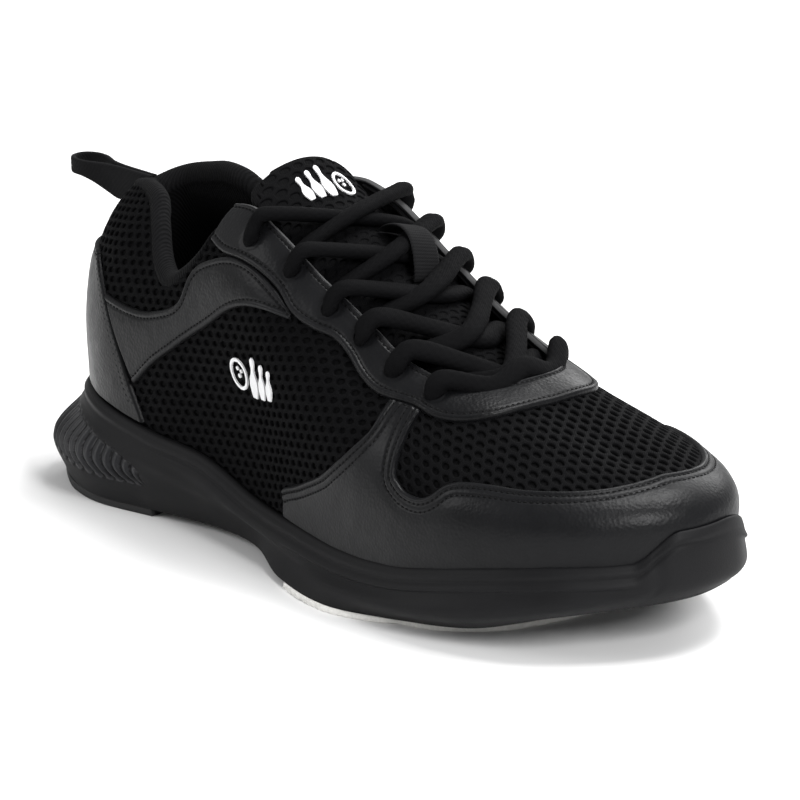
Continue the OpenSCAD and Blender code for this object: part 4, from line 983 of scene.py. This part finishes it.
# lace keeper: ribbed webbing sewn on the medial half of the tongue
def webbing(name, line, nor, width, thick, pitch=1.15, amp=0.14, body="shoe", wide=None):
    """line and nor: centreline and face normal, mm; ribs run across the width"""
    s = arclen(line); n = int(s[-1] / (pitch / 6)); t = np.linspace(0, s[-1], n)
    f = lambda P: np.stack([np.interp(t, s, P[:, i]) for i in range(3)], -1)
    p, nn = f(line), f(nor); nn /= np.linalg.norm(nn, axis=-1, keepdims=True)
    tt = np.gradient(p, axis=0); tt /= np.linalg.norm(tt, axis=-1, keepdims=True)
    bb = np.cross(nn, tt); bb /= np.linalg.norm(bb, axis=-1, keepdims=True)
    rib = amp * np.abs(np.sin(np.pi * t / pitch)) ** 0.7
    m = 22; q = np.linspace(-1, 1, m)
    wv = 1 if wide is None else np.interp(t, s, wide)
    rows = []
    edge_ = np.sqrt(np.clip(1 - np.abs(q) ** 10, 0, 1))
    for side_ in (1, -1):
        for x in (q if side_ > 0 else q[::-1]):
            e_ = math.sqrt(max(0.0, 1 - abs(x) ** 10))
            wob = 1 + 0.35 * math.cos(x * 9.4)
            rows.append(p + bb * (x * width / 2 * (1 + 0.02 * np.sin(2 * np.pi * t / pitch)))[:, None] * (wv if np.isscalar(wv) else wv[:, None]) + nn * ((side_ * (thick / 2 * (0.25 + 0.75 * e_) + rib * e_ * 0.9)))[:, None])
    G = np.stack(rows, 1)
    ob = closed_tube(name, G, m_web, body)
    return ob


kt = np.linspace(0, 1, 80)
pk_s = 0.47 + 0 * kt
kt_t = 6.95 - 2.25 * kt; kt_s = 0.31 - 0.16 * kt
lk = tp(kt_t, kt_s, 1.2 + 8.3 * np.sin(np.pi * kt) ** 0.75); nk_ = tn(kt_t, kt_s)
ob = webbing("lace_keeper_webbing", lk, nk_, 10.5, 0.9, 1.2, 0.16)
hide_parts("lace_keeper")


# ---------------------------------------------------------------- lace
def hole(n, m, d):
    e = EYM[n] if m > 0 else EYE[n]
    k = 24 - e[0] if m > 0 else e[0]
    return list(pt(A([k]), A([e[1]]), A([d]))[0])


def near(n, m, dv, d, dk=0.0):
    e = EYM[n] if m > 0 else EYE[n]
    k = 24 - e[0] if m > 0 else e[0]
    return list(pt(A([k - m * dk]), A([e[1] + dv]), A([d]))[0])


def T1(t, s, d): return list(tp(A([t]), A([s]), A([d]))[0])


def strand(n, m):
    h = 5.6 if m < 0 else 2.3
    return [hole(n, m, -3.1), near(n, m, 0.09, -3.4, -0.1), T1(0.55 + 1.45 * n + (0.5 * (n - 3) if n > 3 else 0) + 0.75, m * 0.1, h),
            near(n + 1, -m, 0.14, 3.7, 0.1), near(n + 1, -m, 0.06, 4.3), hole(n + 1, -m, 2.4), hole(n + 1, -m, -0.5)]


def tail(m): return [[x, m * y + (1.5 if m > 0 else 0), z] for x, y, z in ((119, 25, 98), (122, 25.5, 86), (134, 24.5, 74), (150, 22.5, 65), (166, 21, 60))]


def side(m): return [hole(0, m, 2.4), hole(0, m, -0.5)] + strand(0, m) + strand(1, -m) + strand(2, m) + strand(3, -m) + strand(4, m) + tail(-m)


LP = A(side(-1)[::-1] + [near(0, -1, 0.05, 4.6), T1(1.15, -0.45, 6.2), T1(1.25, 0.1, 7.6), T1(1.2, 0.6, 6.4), near(0, 1, 0.05, 4.8)] + side(1))


def cord_mesh(name, LP, w, h, body="shoe"):
    q = np.linspace(1, len(LP) - 2, (len(LP) - 3) * 26 + 1)
    P = crl(LP, q)
    P = resample(P, 0.55)
    ker = A([1, 2, 3, 4, 3, 2, 1]) / 16
    for _ in range(3):
        Q = np.pad(P, ((3, 3), (0, 0)), mode="edge"); P = sum(ker[a] * Q[a:a + len(P)] for a in range(7))
    T = np.gradient(P, axis=0); T /= np.linalg.norm(T, axis=-1, keepdims=True)
    c = A([160, 1 + OY, 60])
    r = P - c; r /= np.linalg.norm(r, axis=-1, keepdims=True)
    U = np.cross(T, r + A([0, 0, 0.6])); U /= np.linalg.norm(U, axis=-1, keepdims=True)
    for _ in range(6):
        Q = np.pad(U, ((3, 3), (0, 0)), mode="edge"); U = sum(ker[a] * Q[a:a + len(U)] for a in range(7)); U -= T * np.sum(U * T, -1, keepdims=True); U /= np.linalg.norm(U, axis=-1, keepdims=True)
    Vv = np.cross(T, U)
    s = arclen(P); n = 40; a = np.arange(n) * 2 * np.pi / n
    # braid: two families of helical yarns
    Aa, Ss = np.meshgrid(a, s); ph = Ss / 3.3
    y1 = np.abs(np.sin(4 * Aa + np.pi * ph)); y2 = np.abs(np.sin(4 * Aa - np.pi * ph))
    rel = 0.34 * np.maximum(y1 ** 0.6, y2 ** 0.6) + 0.06 * noise3(P[:, None] + 0 * Aa[..., None], 9, 9)
    lump = 1 + 0.05 * np.sin(s / 7.3) + 0.03 * np.sin(s / 3.1 + 1)
    cx = np.sign(np.cos(a)) * np.abs(np.cos(a)) ** 0.85; sx = np.sign(np.sin(a)) * np.abs(np.sin(a)) ** 0.9
    G = P[:, None] + U[:, None] * (cx * w / 2)[None, :, None] * lump[:, None, None] + Vv[:, None] * (sx * h / 2)[None, :, None]
    no = U[:, None] * (np.cos(a))[None, :, None] + Vv[:, None] * (np.sin(a))[None, :, None]
    G = G + no * (rel - 0.2)[..., None]
    return closed_tube(name, G, m_lace, body, flip=True), s[-1]


lace, lace_len = cord_mesh("lace_braided", LP, 7.0, 4.6)
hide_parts("lace")
print("lace drawn length mm", lace_len)


# ---------------------------------------------------------------- pull tab and its anchor
PX = [17, 12, 8, 4, 0, -4, -8, -11, -12.8, -13.3]
PY = [1, 1.1, 1.3, 2.2, 3.7, 5.0, 5.1, 4.0, 2.1, 0]
loop = A([[x, -y] for x, y in zip(PX, PY)] + [[x, y] for x, y in zip(PX[-2::-1], PY[-2::-1])])
lp = crl(loop, np.linspace(0, 18, 300))
lp = np.concatenate([[[19.5, lp[0, 1]]], lp, [[19.5, lp[-1, 1]]]])
ln = arclen(np.c_[lp, 0 * lp[:, :1]])
dn = np.gradient(lp, axis=0); nn2 = np.stack([-dn[:, 1], dn[:, 0]], -1); nn2 /= np.linalg.norm(nn2, axis=-1, keepdims=True)
zm = 101.0
nst = 330; tt_ = np.linspace(0, ln[-1], nst)
px_ = np.interp(tt_, ln, lp[:, 0]); py_ = np.interp(tt_, ln, lp[:, 1]); nx_ = np.interp(tt_, ln, nn2[:, 0]); ny_ = np.interp(tt_, ln, nn2[:, 1])
nl = np.hypot(nx_, ny_); nx_, ny_ = nx_ / nl, ny_ / nl
q = np.linspace(-1, 1, 26); rows = []
for sd in (1, -1):
    for x in (q if sd > 0 else q[::-1]):
        e_ = math.sqrt(max(0.0, 1 - abs(x) ** 12))
        zlo = 94.8 + 6.2 * (1 - sst(-6, 11, px_)); zhi = 106.6 + 0 * px_
        zz = zlo + (zhi - zlo) * (x + 1) / 2
        sh = 0.85 * (zz - 96) * sst(2, 17, px_)
        rib = 0.16 * np.abs(np.sin(np.pi * (tt_ + 1.6 * x * 5.2 / 5.2 * 1.3) / 1.25)) ** 0.7
        off = sd * (0.25 + 0.5 * e_ + rib * e_)
        rows.append(np.stack([px_ + sh + nx_ * off, py_ + ny_ * off, zz], -1))
G = np.stack(rows, 1)
ob = closed_tube("pull_tab_webbing", G, m_web, None, flip=False)
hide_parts("pull_tab")
tuple(M(A([20.5, 0, 101])))
tuple(M(A([13.0, 0, 101])))
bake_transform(ob)
# the anchor: the same webbing, flattened onto the heel
va = np.linspace(0.40, 0.545, 60); ka = np.zeros(60)
la = pt(ka, va, 0.75 + 0 * ka); na = nrm(ka, va)
ob = webbing("pull_tab_anchor", la, na, 9.5, 0.9, 1.2, 0.14)
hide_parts("tab_anchor")

# ---------------------------------------------------------------- generic pictograms: a ball and two pins
def pin_outline(n=48):
    """half profile of a pin, height 1"""
    y = [0, .02, .12, .3, .45, .6, .68, .74, .82, .9, .96, 1.0]; x = [.13, .15, .2, .26, .23, .12, .085, .082, .11, .125, .09, .0]
    yy = np.linspace(0, 1, n); xx = np.interp(yy, y, x)
    return np.concatenate([np.stack([xx, yy], -1), np.stack([-xx[::-1], yy[::-1]], -1)[1:]])


def flat_fill(poly, step):
    """triangulated grid of quads clipped by scanlines: returns strips (left, right) at each height"""
    ymin, ymax = poly[:, 1].min(), poly[:, 1].max()
    n = max(6, int((ymax - ymin) / step)); ys_ = np.linspace(ymin + 1e-4, ymax - 1e-4, n); L, R = [], []
    for y in ys_:
        c = []
        for a, b in zip(poly, np.roll(poly, -1, 0)):
            if (a[1] - y) * (b[1] - y) < 0:
                c.append(a[0] + (y - a[1]) / (b[1] - a[1]) * (b[0] - a[0]))
        if c: L.append([min(c), y]); R.append([max(c), y])
    return A(L), A(R)


def emblem(shapes, place, d, name, mat, body=None):
    """shapes: list of outlines in mm in a flat plane; place(u, w, d) to surface"""
    V, F, o = [], [], 0
    for poly in shapes:
        L, R = flat_fill(poly, 0.35); m = 8; n = len(L)
        f = np.linspace(0, 1, m)[None, :, None]; X = L[:, None] * (1 - f) + R[:, None] * f
        a = place(X[..., 0], X[..., 1], np.full(X.shape[:2], d)); b = place(X[..., 0], X[..., 1], np.full(X.shape[:2], d - 0.5))
        V += [a.reshape(-1, 3), b.reshape(-1, 3)]
        F += [q for q in (quads(n, m, flip=True) + o)]
        F += [q for q in (quads(n, m) + o + n * m)]
        idx = np.arange(n * m).reshape(n, m)
        for bb, fl in ((idx[0], 0), (idx[-1], 1), (idx[:, 0], 1), (idx[:, -1], 0)):
            qd = np.stack([bb[:-1], bb[1:], bb[1:] + n * m, bb[:-1] + n * m], -1) + o
            F += [x for x in (qd[:, ::-1] if fl else qd)]
        o += 2 * n * m
    ob = raw(name, M(np.concatenate(V)), A(F), mat, body)
    return ob


def circle(cx, cy, r, n=60):
    a = np.arange(n) * 2 * np.pi / n
    return np.stack([cx + r * np.cos(a), cy + r * np.sin(a)], -1)


def ringseg(cx, cy, r0, r1, a0, a1, n=30):
    a = np.linspace(math.radians(a0), math.radians(a1), n)
    return np.concatenate([np.stack([cx + r1 * np.cos(a), cy + r1 * np.sin(a)], -1), np.stack([cx + r0 * np.cos(a[::-1]), cy + r0 * np.sin(a[::-1])], -1)])


def pict(scale=1.0):
    p = pin_outline()
    out = [p * A([10.5, 12.5]) + A([1.6, -6]), p * A([9.2, 10.8]) + A([7.2, -5.4]), p * A([8, 9.2]) + A([12.2, -4.8])]
    bx, by = -7.4, -1.2
    out += [ringseg(bx, by, 3.7, 4.7, -90, 90), ringseg(bx, by, 3.7, 4.7, 90, 270)]
    out += [circle(bx - 0.6, by + 1.6, 0.62), circle(bx + 1.3, by + 1.3, 0.62), circle(bx + 0.2, by - 0.4, 0.72)]
    return [o * scale for o in out]


# on the outer quarter, where the real shoe carries a printed mark
S0 = float(np.interp(5.12, KG, SG)); ic = int(round((5.12 - KG[0]) / (KG[1] - KG[0]))); T0 = float(np.interp(0.14, VG, TG[ic]))


def place_quarter(u, w, d):
    """u forwards, w upwards, mm, along the fabric"""
    ca, sa = math.cos(math.radians(4)), math.sin(math.radians(4))
    return place_side(S0 + u * ca - w * sa, T0 + u * sa + w * ca, d + 0 * u)


ob = emblem(pict(1.1), lambda u, w, d: place_quarter(u + 1.8, w - 1.2, d), 0.75, "quarter_pictogram", m_white, "shoe")


def place_badge(u, w, d):
    t = 10.15 + w / 6.6
    s = (u + 0) / tab(TT, TW, t)
    x = np.abs(s)
    dd = -1.2 + 1.2 * np.power(np.clip(1 - x ** 2.35, 0, 1), 0.25) + 0.25
    return tp(t, s * 0.985, dd + d)


# the tongue's top faces forwards, so the mark's up is the tongue's up
bd = emblem([o * A([1, 1]) for o in pict(0.8)], lambda u, w, d: place_badge(-u + 3.2, w - 0.4, d), 0.62, "tongue_pictogram", m_white, None)
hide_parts("tongue_badge")
TONGUE.append(bd)

# ---------------------------------------------------------------- the tongue's parts: transforms baked into their meshes
for ob in TONGUE:
    tuple(M(A([121.0, 0.0, 116.5])))
    tuple(M(A([112.5, 0.0, 122.0])))
    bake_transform(ob)

# ---------------------------------------------------------------- floor, light, camera
fl = bpy.data.meshes.new("floor"); F_S = 6.0
fl.from_pydata([(-F_S, -F_S, 0), (F_S, -F_S, 0), (F_S, F_S, 0), (-F_S, F_S, 0)], [], [(0, 1, 2, 3)])
fo = bpy.data.objects.new("floor", fl); bpy.context.scene.collection.objects.link(fo)
mf, nt, b, co = nodes_of("pale_floor")
b.inputs["Base Color"].default_value = (0.88, 0.88, 0.88, 1); b.inputs["Roughness"].default_value = 0.8; b.inputs["Specular IOR Level"].default_value = 0.1
fl.materials.append(mf)

w = bpy.data.worlds.new("studio"); bpy.context.scene.world = w; w.use_nodes = True
w.node_tree.nodes["Background"].inputs[0].default_value = (1, 1, 1, 1); w.node_tree.nodes["Background"].inputs[1].default_value = 0.40


def area(name, loc, target, size, power, sy=None):
    l = bpy.data.lights.new(name, "AREA"); l.energy = power; l.size = size
    if sy: l.shape = "RECTANGLE"; l.size_y = sy
    o = bpy.data.objects.new(name, l); bpy.context.scene.collection.objects.link(o)
    o.location = loc
    o.rotation_euler = (Vector(target) - Vector(loc)).to_track_quat("-Z", "Y").to_euler()
    return o


area("top_box", (0.25, 0.35, 1.15), (0.08, 0, 0.05), 0.7, 17, 0.5)
area("key_left", (-0.9, -1.2, 0.9), (0, 0, 0.05), 0.8, 9, 0.8)
area("rim_back", (-0.3, 1.2, 0.7), (0, 0, 0.08), 0.9, 9, 0.5)
area("toe_fill", (1.3, -0.25, 0.85), (0.1, 0, 0.05), 0.42, 17, 0.5)

az, el, ro = math.radians(49.2), math.radians(17.71), math.radians(-1.26)
back_ = Vector((math.sin(az) * math.cos(el), -math.cos(az) * math.cos(el), math.sin(el)))
right_ = Vector((math.cos(az), math.sin(az), 0)); up_ = back_.cross(right_)
r2 = right_ * math.cos(ro) + up_ * math.sin(ro); u2 = up_ * math.cos(ro) - right_ * math.sin(ro)
tgt = Vector(M(A([150, 0, 50])).tolist())
cam = bpy.data.cameras.new("camera"); cam.sensor_width = 36; cam.lens = 5778 / 800 * 36
cam.shift_x = 9.29 / 800; cam.shift_y = 8.74 / 800
cam.clip_start = 0.05; cam.clip_end = 50
co_ = bpy.data.objects.new("camera", cam); bpy.context.scene.collection.objects.link(co_)
co_.matrix_world = Matrix.Translation(tgt + back_ * 1.9096) @ Matrix((r2, u2, back_)).transposed().to_4x4()
bpy.context.scene.camera = co_
bpy.context.scene.view_settings.view_transform = "Standard"
